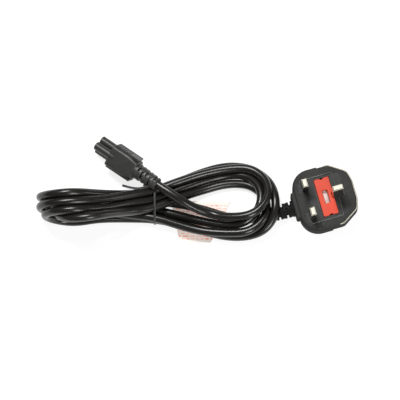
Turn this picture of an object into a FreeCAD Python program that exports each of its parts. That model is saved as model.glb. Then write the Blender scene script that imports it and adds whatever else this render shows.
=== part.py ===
"""Moulded mains lead with a UK three pin plug, a tied hank of round flex and a three pole connector.

The origin is on the surface under the plug's back, below the middle of the line and neutral pins.
+X runs from the cord outlet to the earth pin, +Y to the line pin, and +Z up along the pins.
"""
import FreeCAD, Part
import math
import os
import Sketcher

os.makedirs("parts", exist_ok=True)
doc = FreeCAD.newDocument("uk_three_pin_plug")

# Driving sizes in millimetres and degrees
SIZES = [
    ("body_depth", 17.5, "plug back to pin face"),
    ("cord_edge", 9.2, "line and neutral pins to the wall at the cord"),
    ("earth_edge", 36.2, "line and neutral pins to the wall at the earth pin"),
    ("shoulder_half", 23.8, "half width at the pins"),
    ("hip_step", 1.1, "depth of the grip step"),
    ("hip_half", "=shoulder_half - hip_step", "half width past the grip step"),
    ("waist_x", 12.6, "grip step from the line and neutral pins"),
    ("corner_x", 20.7, "start of the slanted cheek"),
    ("cheek_x", 34.2, "end of the slanted cheek"),
    ("cheek_half", 15.0, "half width at the end of the cheek"),
    ("front_half", 7.0, "half width of the flat at the earth end"),
    ("shoulder_flat", 9.8, "half length of the flat at the cord"),
    ("shoulder_round", "=shoulder_half - shoulder_flat", "round of the corners at the cord"),
    ("corner_round", 9.0, "round where the cheek starts"),
    ("cheek_round", 7.0, "round where the cheek ends"),
    ("front_round", 6.0, "round beside the front flat"),
    ("rim_round", 2.2, "round of the face edge"),
    ("back_round", 4.0, "round of the back edge"),
    ("flange_thick", 2.3, "outlet flange standing out of the wall"),
    ("flange_half", 9.7, "half length of the outlet flange"),
    ("flange_low", 0.8, "lower edge of the outlet flange"),
    ("flange_high", "=body_depth - flange_low", "upper edge of the outlet flange"),
    ("flange_round", 1.1, "round of the outlet flange"),
    ("overlap", 1.0, "depth that joined features run into each other"),
    ("cord_height", 6.0, "cord axis over the plug's back at the outlet"),
    ("relief_reach", 31.5, "line and neutral pins to the end of the plug's relief"),
    ("relief_root", 5.2, "radius of the plug's relief at the housing"),
    ("boot_root", 6.2, "radius of the connector's relief at the housing"),
    ("relief_tip", 4.2, "radius of the reliefs at the cord"),
    ("slot_first", 17.4, "line and neutral pins to the first relief slot"),
    ("slot_pitch", 4.6, "spacing of relief slots on one side"),
    ("slot_width", 1.2, "width of a relief slot"),
    ("slot_core", 3.45, "distance from cord axis to a slot's floor"),
    ("bridge_sunk", 0.3, "pin bridge below the moulded face"),
    ("bridge_thick", 3.6, "thickness of the pin bridge"),
    ("bridge_cord", 5.0, "pin bridge edge towards the cord"),
    ("bridge_earth", 27.8, "pin bridge edge towards the earth end"),
    ("bridge_half", 16.2, "half width of the pin bridge"),
    ("bridge_round", 3.0, "corner round of the pin bridge"),
    ("tongue_half", 7.5, "half width of the smooth tongue between the pins"),
    ("tongue_reach", 0.9, "end of the smooth tongue past the pins"),
    ("live_across", 3.97, "line and neutral pin, short side"),
    ("live_along", 6.35, "line and neutral pin, long side"),
    ("live_half_gap", 11.115, "half of the spacing of line and neutral pins"),
    ("live_reach", 17.7, "line and neutral pins beyond the face"),
    ("live_sunk", 6.0, "line and neutral pins below the face"),
    ("live_root", "=body_depth - live_sunk", "lower end of the line and neutral pins"),
    ("sleeve_reach", 9.5, "insulating sleeves beyond the face"),
    ("sleeve_sunk", 3.5, "insulating sleeves below the face"),
    ("sleeve_root", "=body_depth - sleeve_sunk", "lower end of the insulating sleeves"),
    ("sleeve_wall", 0.55, "wall of the insulating sleeves"),
    ("earth_offset", 22.23, "earth pin from the line of the other two"),
    ("earth_across", 3.97, "earth pin, short side"),
    ("earth_along", 7.92, "earth pin, long side"),
    ("earth_reach", 22.73, "earth pin beyond the face"),
    ("earth_sunk", 8.5, "earth pin below the face"),
    ("earth_root", "=body_depth - earth_sunk", "lower end of the earth pin"),
    ("pin_chamfer", 0.9, "chamfer of the pin tips"),
    ("carrier_x", 13.7, "middle of the fuse carrier lid"),
    ("carrier_across", 11.4, "fuse carrier lid, short side"),
    ("carrier_along", 28.8, "fuse carrier lid, long side"),
    ("carrier_proud", 0.4, "fuse carrier lid above the face"),
    ("carrier_thick", 2.6, "thickness of the fuse carrier lid"),
    ("carrier_round", 0.8, "corner round of the fuse carrier lid"),
    ("carrier_edge", 0.35, "edge round of the fuse carrier lid"),
    ("window_across", 3.9, "inspection window, short side"),
    ("window_along", 10.0, "inspection window, long side"),
    ("notch_across", 3.0, "pry notch in each end of the lid"),
    ("notch_deep", 1.0, "depth of the pry notches"),
    ("fit", 0.2, "clearance round what pulls out"),
    ("finger_y", 4.6, "finger pair from the middle of the fuse"),
    ("finger_wide", 3.6, "width of a carrier finger"),
    ("finger_thick", 0.9, "thickness of a carrier finger"),
    ("finger_sunk", 8.9, "carrier fingers below the face"),
    ("finger_low", "=body_depth - finger_sunk", "lower end of the carrier fingers"),
    ("fuse_x", 13.2, "fuse axis from the line and neutral pins"),
    ("fuse_sunk", 6.1, "fuse axis below the face"),
    ("fuse_height", "=body_depth - fuse_sunk", "fuse axis over the plug's back"),
    ("fuse_length", 25.4, "fuse over its caps"),
    ("fuse_radius", 3.17, "radius of the fuse caps"),
    ("cap_wall", 0.25, "wall of the fuse caps"),
    ("cap_length", 5.8, "length of a fuse cap"),
    ("tube_bore", 2.0, "bore radius of the fuse tube"),
    ("element_radius", 0.2, "radius of the fuse element"),
    ("well_half", 4.6, "half width of the fuse well"),
    ("well_sunk", 10.3, "fuse well below the face"),
    ("well_floor", "=body_depth - well_sunk", "floor of the fuse well"),
    ("well_base", 0.8, "thickness under the fuse well"),
    ("well_wall", 1.0, "wall round the fuse well"),
    ("clip_y", 11.0, "contact clips from the middle of the fuse"),
    ("clip_wide", 2.4, "width of a contact clip"),
    ("clip_gap", 0.1, "clip clear of the fuse cap"),
    ("clip_metal", 0.5, "sheet of the contact clips"),
    ("clip_rise", 2.0, "clip arms above the fuse axis"),
    ("strap_thick", 0.8, "thickness of the strap to the line pin"),
    ("lug_wide", 2.0, "width of the cord clip's lug"),
    ("lug_drop", 3.3, "cord clip's lug below the well's floor"),
    ("lug_low", "=well_floor - lug_drop", "lower end of the cord clip's lug"),
    ("strap_sunk", 5.2, "strap to the line pin below the face"),
    ("strap_high", "=body_depth - strap_sunk", "upper side of the strap to the line pin"),
    ("core_radius", 1.2, "radius of an insulated core"),
    ("core_up", 1.6, "line core above the flex's axis"),
    ("core_down", 0.8, "neutral and earth cores below the flex's axis"),
    ("core_side", 1.4, "neutral and earth cores beside the flex's axis"),
    ("core_bend", 3.2, "cord end wall to the bend of the cores"),
    ("core_low", "=lug_low + core_radius", "line and neutral cores over the plug's back under the bridge"),
    ("earth_core_low", "=0.5 * (well_floor - well_base)", "earth core over the plug's back, midway under the well"),
    ("cord_radius", 3.25, "radius of the flex"),
    ("lay_angle", 16.0, "hank turned about the vertical from the plug's axis"),
    ("tie_p", -114.8, "twist tie, along the hank"),
    ("tie_near", -15.4, "twist tie, near side of the hank"),
    ("tie_far", 13.3, "twist tie, far side of the hank"),
    ("tie_high", 14.4, "twist tie, top"),
    ("tie_thick", 0.7, "thickness of the twist tie"),
    ("tie_wide", 1.4, "width of the twist tie"),
    ("tag_p", -93.0, "paper tag's left edge, along the hank"),
    ("tag_q", -28.3, "paper tag's near edge, across the hank"),
    ("tag_long", 35.0, "paper tag, long side"),
    ("tag_wide", 31.7, "paper tag, short side"),
    ("tag_thick", 0.3, "thickness of the paper tag"),
    ("shell_front", 8.5, "connector housing, half width"),
    ("shell_thick", 12.6, "connector housing, thickness"),
    ("shell_straight", 15.0, "connector housing, straight stretch"),
    ("shell_length", 24.0, "connector housing, length"),
    ("shell_rear", 6.5, "connector housing, half width at the rear"),
    ("shell_round", 2.4, "connector housing, edge round"),
    ("shell_nose_round", 0.9, "connector housing, front edge round"),
    ("grip_front", 1.5, "grip plates from the housing's front"),
    ("grip_rear", 22.6, "grip plate tips from the housing's front"),
    ("grip_out", 9.5, "outer side of the grip plates"),
    ("grip_thick", 1.6, "thickness of the grip plates"),
    ("grip_half", 4.3, "half height of the grip plates"),
    ("rib_count", 6, "ribs on a grip plate"),
    ("rib_pitch", 2.2, "spacing of the grip ribs"),
    ("rib_width", 0.8, "width of a grip rib"),
    ("rib_out", 0.35, "grip ribs above the plate"),
    ("nose_reach", 13.0, "connector nose in front of the housing"),
    ("nose_sunk", 4.5, "connector nose inside the housing"),
    ("lobe_radius", 3.3, "radius of the nose lobes"),
    ("lobe_side", 4.0, "line and neutral lobes beside the middle"),
    ("lobe_low", 2.4, "line and neutral lobes below the middle"),
    ("lobe_high", 3.4, "earth lobe above the middle"),
    ("lobe_chamfer", 0.5, "chamfer of the nose's front"),
    ("entry_wall", 1.5, "front wall of the nose"),
    ("contact_radius", 2.1, "radius of the contact tubes"),
    ("contact_bore", 1.25, "bore radius of the contact tubes"),
    ("contact_deep", 11.0, "depth of the contact bores"),
    ("contact_tail", 0.3, "gap between a contact's tail and its core"),
    ("connector_relief_end", 43.0, "connector relief end from the housing's front"),
    ("connector_end_p", -112.9, "relief end of the connector, along the hank"),
    ("connector_end_q", 12.5, "relief end of the connector, across the hank"),
    ("connector_end_z", 19.9, "relief end of the connector, height"),
    ("connector_turn", 143.9, "connector nose direction from the hank's axis"),
    ("connector_pitch", 10.9, "connector nose slope"),
    ("connector_roll", 30.0, "connector rolled about its axis"),
]

sheet = doc.addObject("Spreadsheet::Sheet", "sizes")
for row, (alias, value, meaning) in enumerate(SIZES, start=1):
    sheet.set("A%d" % row, meaning)
    sheet.set("B%d" % row, str(value))
    sheet.setAlias("B%d" % row, alias)
doc.recompute()


def size(alias):
    return float(sheet.get(alias))


# Sketch and feature helpers
def new_body(name):
    return doc.addObject("PartDesign::Body", name)


def sketch_on(body, name, role, lift=None, shift=None):
    """A sketch on one of the body's origin planes, lifted off it and shifted along its own Y."""
    sketch = body.newObject("Sketcher::SketchObject", name)
    plane = [feature for feature in body.Origin.OriginFeatures if feature.Role == role][0]
    sketch.AttachmentSupport = [(plane, "")]
    sketch.MapMode = "FlatFace"
    if lift:
        sketch.setExpression("AttachmentOffset.Base.z", lift)
    if shift:
        sketch.setExpression("AttachmentOffset.Base.y", shift)
    return sketch


def drive(sketch, kind, first, where, text):
    """Bind the X or Y place of a sketch point, seen from the sketch's origin."""
    index = sketch.addConstraint(Sketcher.Constraint(kind, -1, 1, first, where, 1.0))
    sketch.setExpression("Constraints[%d]" % index, text)


def polygon(sketch, corners):
    """A closed outline through corners that are given as pairs of expressions."""
    first = sketch.GeometryCount
    count = len(corners)
    turn = 2 * math.pi / count
    ring = [FreeCAD.Vector(math.cos(turn * i), math.sin(turn * i), 0) for i in range(count)]
    for i in range(count):
        sketch.addGeometry(Part.LineSegment(ring[i], ring[(i + 1) % count]))
    for i in range(count):
        sketch.addConstraint(Sketcher.Constraint("Coincident", first + i, 2, first + (i + 1) % count, 1))
    for i, (across, up) in enumerate(corners):
        drive(sketch, "DistanceX", first + i, 1, across)
        drive(sketch, "DistanceY", first + i, 1, up)


def rectangle(sketch, left, right, low, high):
    polygon(sketch, [(left, low), (right, low), (right, high), (left, high)])


def circle(sketch, across, up, radius):
    index = sketch.addGeometry(Part.Circle(FreeCAD.Vector(1, 1, 0), FreeCAD.Vector(0, 0, 1), 1.0))
    drive(sketch, "DistanceX", index, 3, across)
    drive(sketch, "DistanceY", index, 3, up)
    held = sketch.addConstraint(Sketcher.Constraint("Radius", index, 1.0))
    sketch.setExpression("Constraints[%d]" % held, radius)


def mirrored(corners):
    """An outline's corners from its half on the positive side of Y."""
    other = [(across, "-(%s)" % up) for across, up in corners]
    return other + corners[::-1]


def sound(feature):
    """The feature, once its shape is known to be whole."""
    if feature.Shape.isNull() or not feature.Shape.isValid():
        raise RuntimeError("%s failed" % feature.Label)
    return feature


def pad(body, sketch, name, length, reverse=False, symmetric=False):
    feature = body.newObject("PartDesign::Pad", name)
    feature.Profile = sketch
    feature.setExpression("Length", length)
    feature.Reversed = reverse
    feature.SideType = "Symmetric" if symmetric else "One side"
    doc.recompute()
    return sound(feature)


def pocket(body, sketch, name, length=None, reverse=False, symmetric=False):
    """A cut from the sketch's plane down, which has to take material away."""
    before = body.Shape.Volume
    feature = body.newObject("PartDesign::Pocket", name)
    feature.Profile = sketch
    if length:
        feature.setExpression("Length", length)
    else:
        feature.Type = "ThroughAll"
    feature.Reversed = reverse
    feature.SideType = "Symmetric" if symmetric else "One side"
    doc.recompute()
    if not sound(feature).Shape.Volume < before:
        raise RuntimeError("%s cuts nothing" % name)
    return feature


def edges_of(shape, wanted):
    return ["Edge%d" % (i + 1) for i, edge in enumerate(shape.Edges) if wanted(edge)]


def ends(edge):
    return [vertex.Point for vertex in edge.Vertexes]


def along(axis, edge):
    """True for a straight edge along one axis, 0, 1 or 2."""
    points = ends(edge)
    if len(points) != 2 or not isinstance(edge.Curve, Part.Line):
        return False
    step = points[1] - points[0]
    return abs(step[axis]) > 0.999 * step.Length


def dress(body, kind, name, amount, wanted):
    """A fillet or chamfer on the edges of the body's last feature that the test picks."""
    base = body.Tip
    names = edges_of(base.Shape, wanted)
    if not names:
        raise RuntimeError("%s finds no edge" % name)
    feature = body.newObject("PartDesign::" + kind, name)
    feature.Base = (base, names)
    feature.setExpression("Radius" if kind == "Fillet" else "Size", amount)
    doc.recompute()
    return sound(feature)


def upright_at(places):
    """Picks upright edges whose X is one of the places."""
    def wanted(edge):
        return along(2, edge) and any(abs(ends(edge)[0].x - place) < 0.01 for place in places)
    return wanted


def level_at(height):
    """Picks edges that lie in one level plane."""
    def wanted(edge):
        return all(abs(point.z - height) < 1e-4 for point in ends(edge)) and \
            abs(edge.BoundBox.ZLength) < 1e-4
    return wanted


def cut(label, base, tools):
    """A base object with the room for its neighbours taken out."""
    result = doc.addObject("Part::Cut", label)
    result.Base = base
    if len(tools) == 1:
        result.Tool = tools[0]
    else:
        joined = doc.addObject("Part::MultiFuse", label + "_room")
        joined.Shapes = tools
        result.Tool = joined
    doc.recompute()
    return result


def feature_of(label, shape):
    result = doc.addObject("Part::Feature", label)
    result.Shape = shape
    return result


# Paths of straight runs joined by tangent arcs
def tube(label, points, radius):
    """A round tube along a route, with each bend as large as its two runs allow."""
    route = [FreeCAD.Vector(*point) for point in points]
    edges = []
    start = route[0]
    tightest = None
    for before, corner, after in zip(route, route[1:], route[2:]):
        inward = (before - corner).normalize()
        outward = (after - corner).normalize()
        half_turn = (math.pi - inward.getAngle(outward)) / 2
        trim = 0.45 * min((before - corner).Length, (after - corner).Length)
        bend = trim / math.tan(half_turn)
        tightest = bend if tightest is None else min(tightest, bend)
        first = corner + inward * trim
        last = corner + outward * trim
        bisector = (inward + outward).normalize()
        crown = corner + bisector * (bend / math.cos(half_turn) - bend)
        edges.append(Part.LineSegment(start, first).toShape())
        edges.append(Part.Arc(first, crown, last).toShape())
        start = last
    edges.append(Part.LineSegment(start, route[-1]).toShape())
    spine = Part.Wire(edges)
    profile = Part.Wire(Part.makeCircle(radius, route[0], route[1] - route[0]))
    solid = spine.makePipeShell([profile], True, True)
    expected = math.pi * radius ** 2 * spine.Length
    if abs(solid.Volume - expected) > 0.01 * expected:
        raise RuntimeError("%s has the wrong volume" % label)
    if tightest:
        print("%s: length %.1f, tightest bend %.1f, radius %.2f" % (label, spine.Length, tightest, radius))
    return feature_of(label, solid)


# The plug's moulded body
def relief(body, prefix, root, girth, reach, first_slot, slots):
    """A tapered sleeve along -X with slots above, below and on both sides, cut to its core."""
    profile = sketch_on(body, prefix + "_profile", "XZ_Plane", shift="sizes.cord_height" if root else None)
    inner = root or "-(sizes.shell_length - sizes.overlap)"
    polygon(profile, [(inner, "0"), (inner, girth), ("-(%s)" % first_slot, girth),
                      ("-(%s)" % reach, "sizes.relief_tip"), ("-(%s)" % reach, "0")])
    turned = body.newObject("PartDesign::Revolution", prefix + "_sleeve")
    turned.Profile = profile
    turned.ReferenceAxis = (profile, ["H_Axis"])
    turned.Angle = 360
    doc.recompute()
    sound(turned)
    for name, role, shift, lift in (("upright", "XZ_Plane", "sizes.cord_height", None),
                                    ("level", "XY_Plane", None, "sizes.cord_height")):
        slot_sketch = sketch_on(body, "%s_%s_slots" % (prefix, name), role,
                                lift=lift if root else None, shift=shift if root else None)
        ahead = "0" if name == "upright" else "0.5 * sizes.slot_pitch"
        for i in range(slots):
            right = "-(%s + %s + %d * sizes.slot_pitch)" % (first_slot, ahead, i)
            left = "%s - sizes.slot_width" % right
            rectangle(slot_sketch, left, right, "sizes.slot_core", "2 * " + girth)
            rectangle(slot_sketch, left, right, "-2 * " + girth, "-sizes.slot_core")
        pocket(body, slot_sketch, "%s_%s_cut" % (prefix, name), symmetric=True)


def plug_shell():
    body = new_body("plug_shell")
    outline = sketch_on(body, "plug_outline", "XY_Plane")
    polygon(outline, mirrored([("-sizes.cord_edge", "sizes.shoulder_half"),
                               ("sizes.corner_x", "sizes.shoulder_half"),
                               ("sizes.cheek_x", "sizes.cheek_half"),
                               ("sizes.earth_edge", "sizes.front_half")]))
    pad(body, outline, "plug_block", "sizes.body_depth")
    for name, places in (("shoulder", [-size("cord_edge")]), ("corner", [size("corner_x")]),
                         ("cheek", [size("cheek_x")]), ("front", [size("earth_edge")])):
        dress(body, "Fillet", name + "_fillet", "sizes.%s_round" % name, upright_at(places))
    dress(body, "Fillet", "rim_fillet", "sizes.rim_round", level_at(size("body_depth")))
    dress(body, "Fillet", "back_fillet", "sizes.back_round", level_at(0))
    waist = sketch_on(body, "waist_sides", "XY_Plane", lift="sizes.body_depth")
    side = ("sizes.hip_half", "sizes.shoulder_half + sizes.overlap")
    rectangle(waist, "sizes.waist_x", "sizes.cheek_x", side[0], side[1])
    rectangle(waist, "sizes.waist_x", "sizes.cheek_x", "-(%s)" % side[1], "-" + side[0])
    pocket(body, waist, "waist_cut")
    flange = sketch_on(body, "flange_outline", "YZ_Plane", lift="sizes.overlap - sizes.cord_edge")
    rectangle(flange, "-sizes.flange_half", "sizes.flange_half", "sizes.flange_low", "sizes.flange_high")
    pad(body, flange, "flange_pad", "sizes.flange_thick + sizes.overlap", reverse=True)
    outer = -size("cord_edge") - size("flange_thick")
    dress(body, "Fillet", "flange_fillet", "sizes.flange_round",
          lambda edge: all(abs(point.x - outer) < 0.01 for point in ends(edge)))
    relief(body, "plug_relief", "-(sizes.cord_edge + 0.5 * sizes.flange_thick)", "sizes.relief_root",
           "sizes.relief_reach", "sizes.slot_first", 3)
    seat = sketch_on(body, "bridge_seat", "XY_Plane", lift="sizes.body_depth")
    bridge_outline(seat)
    pocket(body, seat, "bridge_pocket", "sizes.bridge_sunk + sizes.bridge_thick")
    bridge_corners(body, "bridge_seat_round")
    well = sketch_on(body, "well_seat", "XY_Plane", lift="sizes.body_depth")
    well_outline(well, "sizes.well_wall")
    pocket(body, well, "well_pocket", "sizes.body_depth - sizes.well_floor + sizes.well_base")
    return body


# The rigid pin bridge with its fuse well
def bridge_outline(sketch):
    """The bridge plate in plan, open at the cord end for the housing's smooth tongue."""
    polygon(sketch, mirrored([("sizes.tongue_reach", "sizes.tongue_half"),
                              ("-sizes.bridge_cord", "sizes.tongue_half"),
                              ("-sizes.bridge_cord", "sizes.bridge_half"),
                              ("sizes.bridge_earth", "sizes.bridge_half")]))


def bridge_corners(body, name):
    """Rounds the outer corners of the bridge plate, or of its seat."""
    half = size("bridge_half")
    dress(body, "Fillet", name, "sizes.bridge_round",
          lambda edge: along(2, edge) and abs(abs(ends(edge)[0].y) - half) < 0.01)


def well_outline(sketch, wall):
    rectangle(sketch, "sizes.fuse_x - sizes.well_half - %s" % wall,
              "sizes.fuse_x + sizes.well_half + %s" % wall,
              "-(0.5 * sizes.carrier_along + %s)" % wall, "0.5 * sizes.carrier_along + %s" % wall)


def bridge_block():
    body = new_body("bridge_block")
    plate = sketch_on(body, "bridge_plate", "XY_Plane", lift="sizes.body_depth - sizes.bridge_sunk")
    bridge_outline(plate)
    pad(body, plate, "bridge_pad", "sizes.bridge_thick", reverse=True)
    bridge_corners(body, "bridge_round")
    well = sketch_on(body, "well_outline", "XY_Plane",
                     lift="sizes.body_depth - sizes.bridge_sunk - sizes.overlap")
    well_outline(well, "sizes.well_wall")
    pad(body, well, "well_pad", "sizes.body_depth - sizes.bridge_sunk - sizes.overlap"
        " - sizes.well_floor + sizes.well_base", reverse=True)
    lid = sketch_on(body, "lid_seat", "XY_Plane", lift="sizes.body_depth - sizes.bridge_sunk")
    lid_outline(lid, "sizes.fit")
    pocket(body, lid, "lid_pocket",
           "sizes.carrier_thick - sizes.carrier_proud - sizes.bridge_sunk + sizes.fit")
    inside = sketch_on(body, "well_inside", "XY_Plane", lift="sizes.body_depth - sizes.bridge_sunk")
    rectangle(inside, "sizes.fuse_x - sizes.well_half", "sizes.fuse_x + sizes.well_half",
              "-(0.5 * sizes.fuse_length + sizes.fit)", "0.5 * sizes.fuse_length + sizes.fit")
    pocket(body, inside, "well_cut", "sizes.body_depth - sizes.bridge_sunk - sizes.well_floor")
    return body


# Pins and sleeves
def pin_block(body, name, centre, across, length, low, high, narrow="0"):
    """A rectangular stretch of a pin between two heights."""
    sketch = sketch_on(body, name + "_outline", "XY_Plane", lift=low)
    half_x = "(0.5 * %s - %s)" % (across, narrow)
    half_y = "(0.5 * %s - %s)" % (length, narrow)
    rectangle(sketch, "%s - %s" % (centre[0], half_x), "%s + %s" % (centre[0], half_x),
              "%s - %s" % (centre[1], half_y), "%s + %s" % (centre[1], half_y))
    return pad(body, sketch, name + "_pad", "%s - (%s)" % (high, low))


def live_pin(name, centre_y):
    body = new_body(name)
    section = (("0", centre_y), "sizes.live_across", "sizes.live_along")
    tip = "sizes.body_depth + sizes.live_reach"
    pin_block(body, name + "_root", *section, "sizes.live_root", "sizes.sleeve_root")
    pin_block(body, name + "_shank", *section, "sizes.sleeve_root", tip, "sizes.sleeve_wall")
    pin_block(body, name + "_head", *section, "sizes.body_depth + sizes.sleeve_reach", tip)
    dress(body, "Chamfer", name + "_tip", "sizes.pin_chamfer",
          level_at(size("body_depth") + size("live_reach")))
    return body


def live_sleeve(name, centre_y):
    body = new_body(name)
    section = (("0", centre_y), "sizes.live_across", "sizes.live_along")
    top = "sizes.body_depth + sizes.sleeve_reach"
    pin_block(body, name + "_block", *section, "sizes.sleeve_root", top)
    hole = sketch_on(body, name + "_hole", "XY_Plane", lift=top)
    half_x = "(0.5 * sizes.live_across - sizes.sleeve_wall)"
    half_y = "(0.5 * sizes.live_along - sizes.sleeve_wall)"
    rectangle(hole, "-" + half_x, half_x, "%s - %s" % (centre_y, half_y), "%s + %s" % (centre_y, half_y))
    pocket(body, hole, name + "_bore")
    return body


def earth_pin():
    body = new_body("earth_pin")
    pin_block(body, "earth_pin_bar", ("sizes.earth_offset", "0"), "sizes.earth_along",
              "sizes.earth_across", "sizes.earth_root", "sizes.body_depth + sizes.earth_reach")
    dress(body, "Chamfer", "earth_pin_tip", "sizes.pin_chamfer",
          level_at(size("body_depth") + size("earth_reach")))
    return body


# The fuse, its contacts and the carrier that pulls out with it
def fuse_cap(name, side):
    """A cup whose closed end faces outwards on its side of the fuse."""
    body = new_body(name)
    half = "0.5 * sizes.fuse_length"
    outer = half if side > 0 else "-" + half
    sketch = sketch_on(body, name + "_rim", "XZ_Plane", lift="-(%s)" % outer)
    circle(sketch, "sizes.fuse_x", "sizes.fuse_height", "sizes.fuse_radius")
    pad(body, sketch, name + "_barrel", "sizes.cap_length", reverse=side < 0)
    inner = "%s - sizes.cap_wall" % half
    bore = sketch_on(body, name + "_bore", "XZ_Plane", lift="-(%s)" % inner if side > 0 else inner)
    circle(bore, "sizes.fuse_x", "sizes.fuse_height", "sizes.fuse_radius - sizes.cap_wall")
    pocket(body, bore, name + "_hollow", "sizes.cap_length", reverse=side > 0)
    return body


def fuse_tube():
    body = new_body("fuse_tube")
    length = "sizes.fuse_length - 2 * sizes.cap_wall"
    sketch = sketch_on(body, "fuse_tube_wall", "XZ_Plane")
    circle(sketch, "sizes.fuse_x", "sizes.fuse_height", "sizes.fuse_radius - sizes.cap_wall")
    circle(sketch, "sizes.fuse_x", "sizes.fuse_height", "sizes.tube_bore")
    pad(body, sketch, "fuse_tube_pad", length, symmetric=True)
    return body


def fuse_element():
    body = new_body("fuse_element")
    sketch = sketch_on(body, "fuse_element_circle", "XZ_Plane")
    circle(sketch, "sizes.fuse_x", "sizes.fuse_height", "sizes.element_radius")
    pad(body, sketch, "fuse_element_pad", "sizes.fuse_length - 2 * sizes.cap_wall", symmetric=True)
    return body


def fuse_clip(name, centre_y, foot):
    """An upright U of sheet metal round a fuse cap, with its own foot or strap."""
    body = new_body(name)
    inner = "(sizes.fuse_radius + sizes.clip_gap)"
    outer = "(%s + sizes.clip_metal)" % inner
    top = "sizes.fuse_height + sizes.clip_rise"
    bend = sketch_on(body, name + "_section", "XZ_Plane",
                     lift="-(%s + 0.5 * sizes.clip_wide)" % centre_y)
    polygon(bend, [("sizes.fuse_x - %s" % outer, "sizes.fuse_height - %s" % outer),
                   ("sizes.fuse_x + %s" % outer, "sizes.fuse_height - %s" % outer),
                   ("sizes.fuse_x + %s" % outer, top), ("sizes.fuse_x + %s" % inner, top),
                   ("sizes.fuse_x + %s" % inner, "sizes.fuse_height - %s" % inner),
                   ("sizes.fuse_x - %s" % inner, "sizes.fuse_height - %s" % inner),
                   ("sizes.fuse_x - %s" % inner, top), ("sizes.fuse_x - %s" % outer, top)])
    pad(body, bend, name + "_bend", "sizes.clip_wide")
    plate = sketch_on(body, name + "_foot", "XZ_Plane",
                      lift="-(%s + 0.5 * sizes.clip_wide)" % centre_y)
    rectangle(plate, *foot)
    pad(body, plate, name + "_foot_pad", "sizes.clip_wide")
    return body


def lid_outline(sketch, room):
    """The carrier lid in plan, stepped round the earth pin, with the given room around it."""
    left = "sizes.carrier_x - 0.5 * sizes.carrier_across - %s" % room
    right = "sizes.carrier_x + 0.5 * sizes.carrier_across + %s" % room
    end = "0.5 * sizes.carrier_along + %s" % room
    step_x = "sizes.earth_offset - 0.5 * sizes.earth_along - sizes.fit + %s" % room
    step_y = "0.5 * sizes.earth_across + sizes.fit - %s" % room
    polygon(sketch, [(left, "-(%s)" % end), (right, "-(%s)" % end), (right, "-(%s)" % step_y),
                     (step_x, "-(%s)" % step_y), (step_x, step_y), (right, step_y), (right, end),
                     (left, end)])


def fuse_carrier():
    body = new_body("fuse_carrier")
    top = size("body_depth") + size("carrier_proud")
    lid = sketch_on(body, "lid_outline", "XY_Plane", lift="sizes.body_depth + sizes.carrier_proud")
    lid_outline(lid, "0")
    pad(body, lid, "lid_pad", "sizes.carrier_thick", reverse=True)
    end = 0.5 * size("carrier_along")
    dress(body, "Fillet", "lid_corner_round", "sizes.carrier_round",
          lambda edge: along(2, edge) and abs(abs(ends(edge)[0].y) - end) < 0.01)
    notches = sketch_on(body, "lid_notches", "XY_Plane",
                        lift="sizes.body_depth + sizes.carrier_proud")
    for sign in ("", "-"):
        circle(notches, "sizes.carrier_x",
               "%s(0.5 * sizes.carrier_along + 0.5 * sizes.notch_across - sizes.notch_deep)" % sign,
               "0.5 * sizes.notch_across")
    pocket(body, notches, "lid_notch_cut")
    window = sketch_on(body, "lid_window", "XY_Plane",
                       lift="sizes.body_depth + sizes.carrier_proud")
    rectangle(window, "sizes.carrier_x - 0.5 * sizes.window_across",
              "sizes.carrier_x + 0.5 * sizes.window_across",
              "-0.5 * sizes.window_along", "0.5 * sizes.window_along")
    pocket(body, window, "lid_window_cut")
    dress(body, "Fillet", "lid_edge_round", "sizes.carrier_edge", level_at(top))
    fingers = sketch_on(body, "finger_outlines", "XY_Plane", lift="sizes.finger_low")
    inner = "(sizes.fuse_radius + sizes.fit)"
    for sign_y in ("", "-"):
        for sign_x in ("-", "+"):
            near = "sizes.fuse_x %s %s" % (sign_x, inner)
            far = "sizes.fuse_x %s (%s + sizes.finger_thick)" % (sign_x, inner)
            left, right = (far, near) if sign_x == "-" else (near, far)
            low = "%ssizes.finger_y - 0.5 * sizes.finger_wide" % sign_y
            high = "%ssizes.finger_y + 0.5 * sizes.finger_wide" % sign_y
            rectangle(fingers, left, right, low, high)
    pad(body, fingers, "finger_pad",
        "sizes.body_depth + sizes.carrier_proud - sizes.carrier_thick + 0.5 * sizes.overlap"
        " - sizes.finger_low")
    return body


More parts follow.
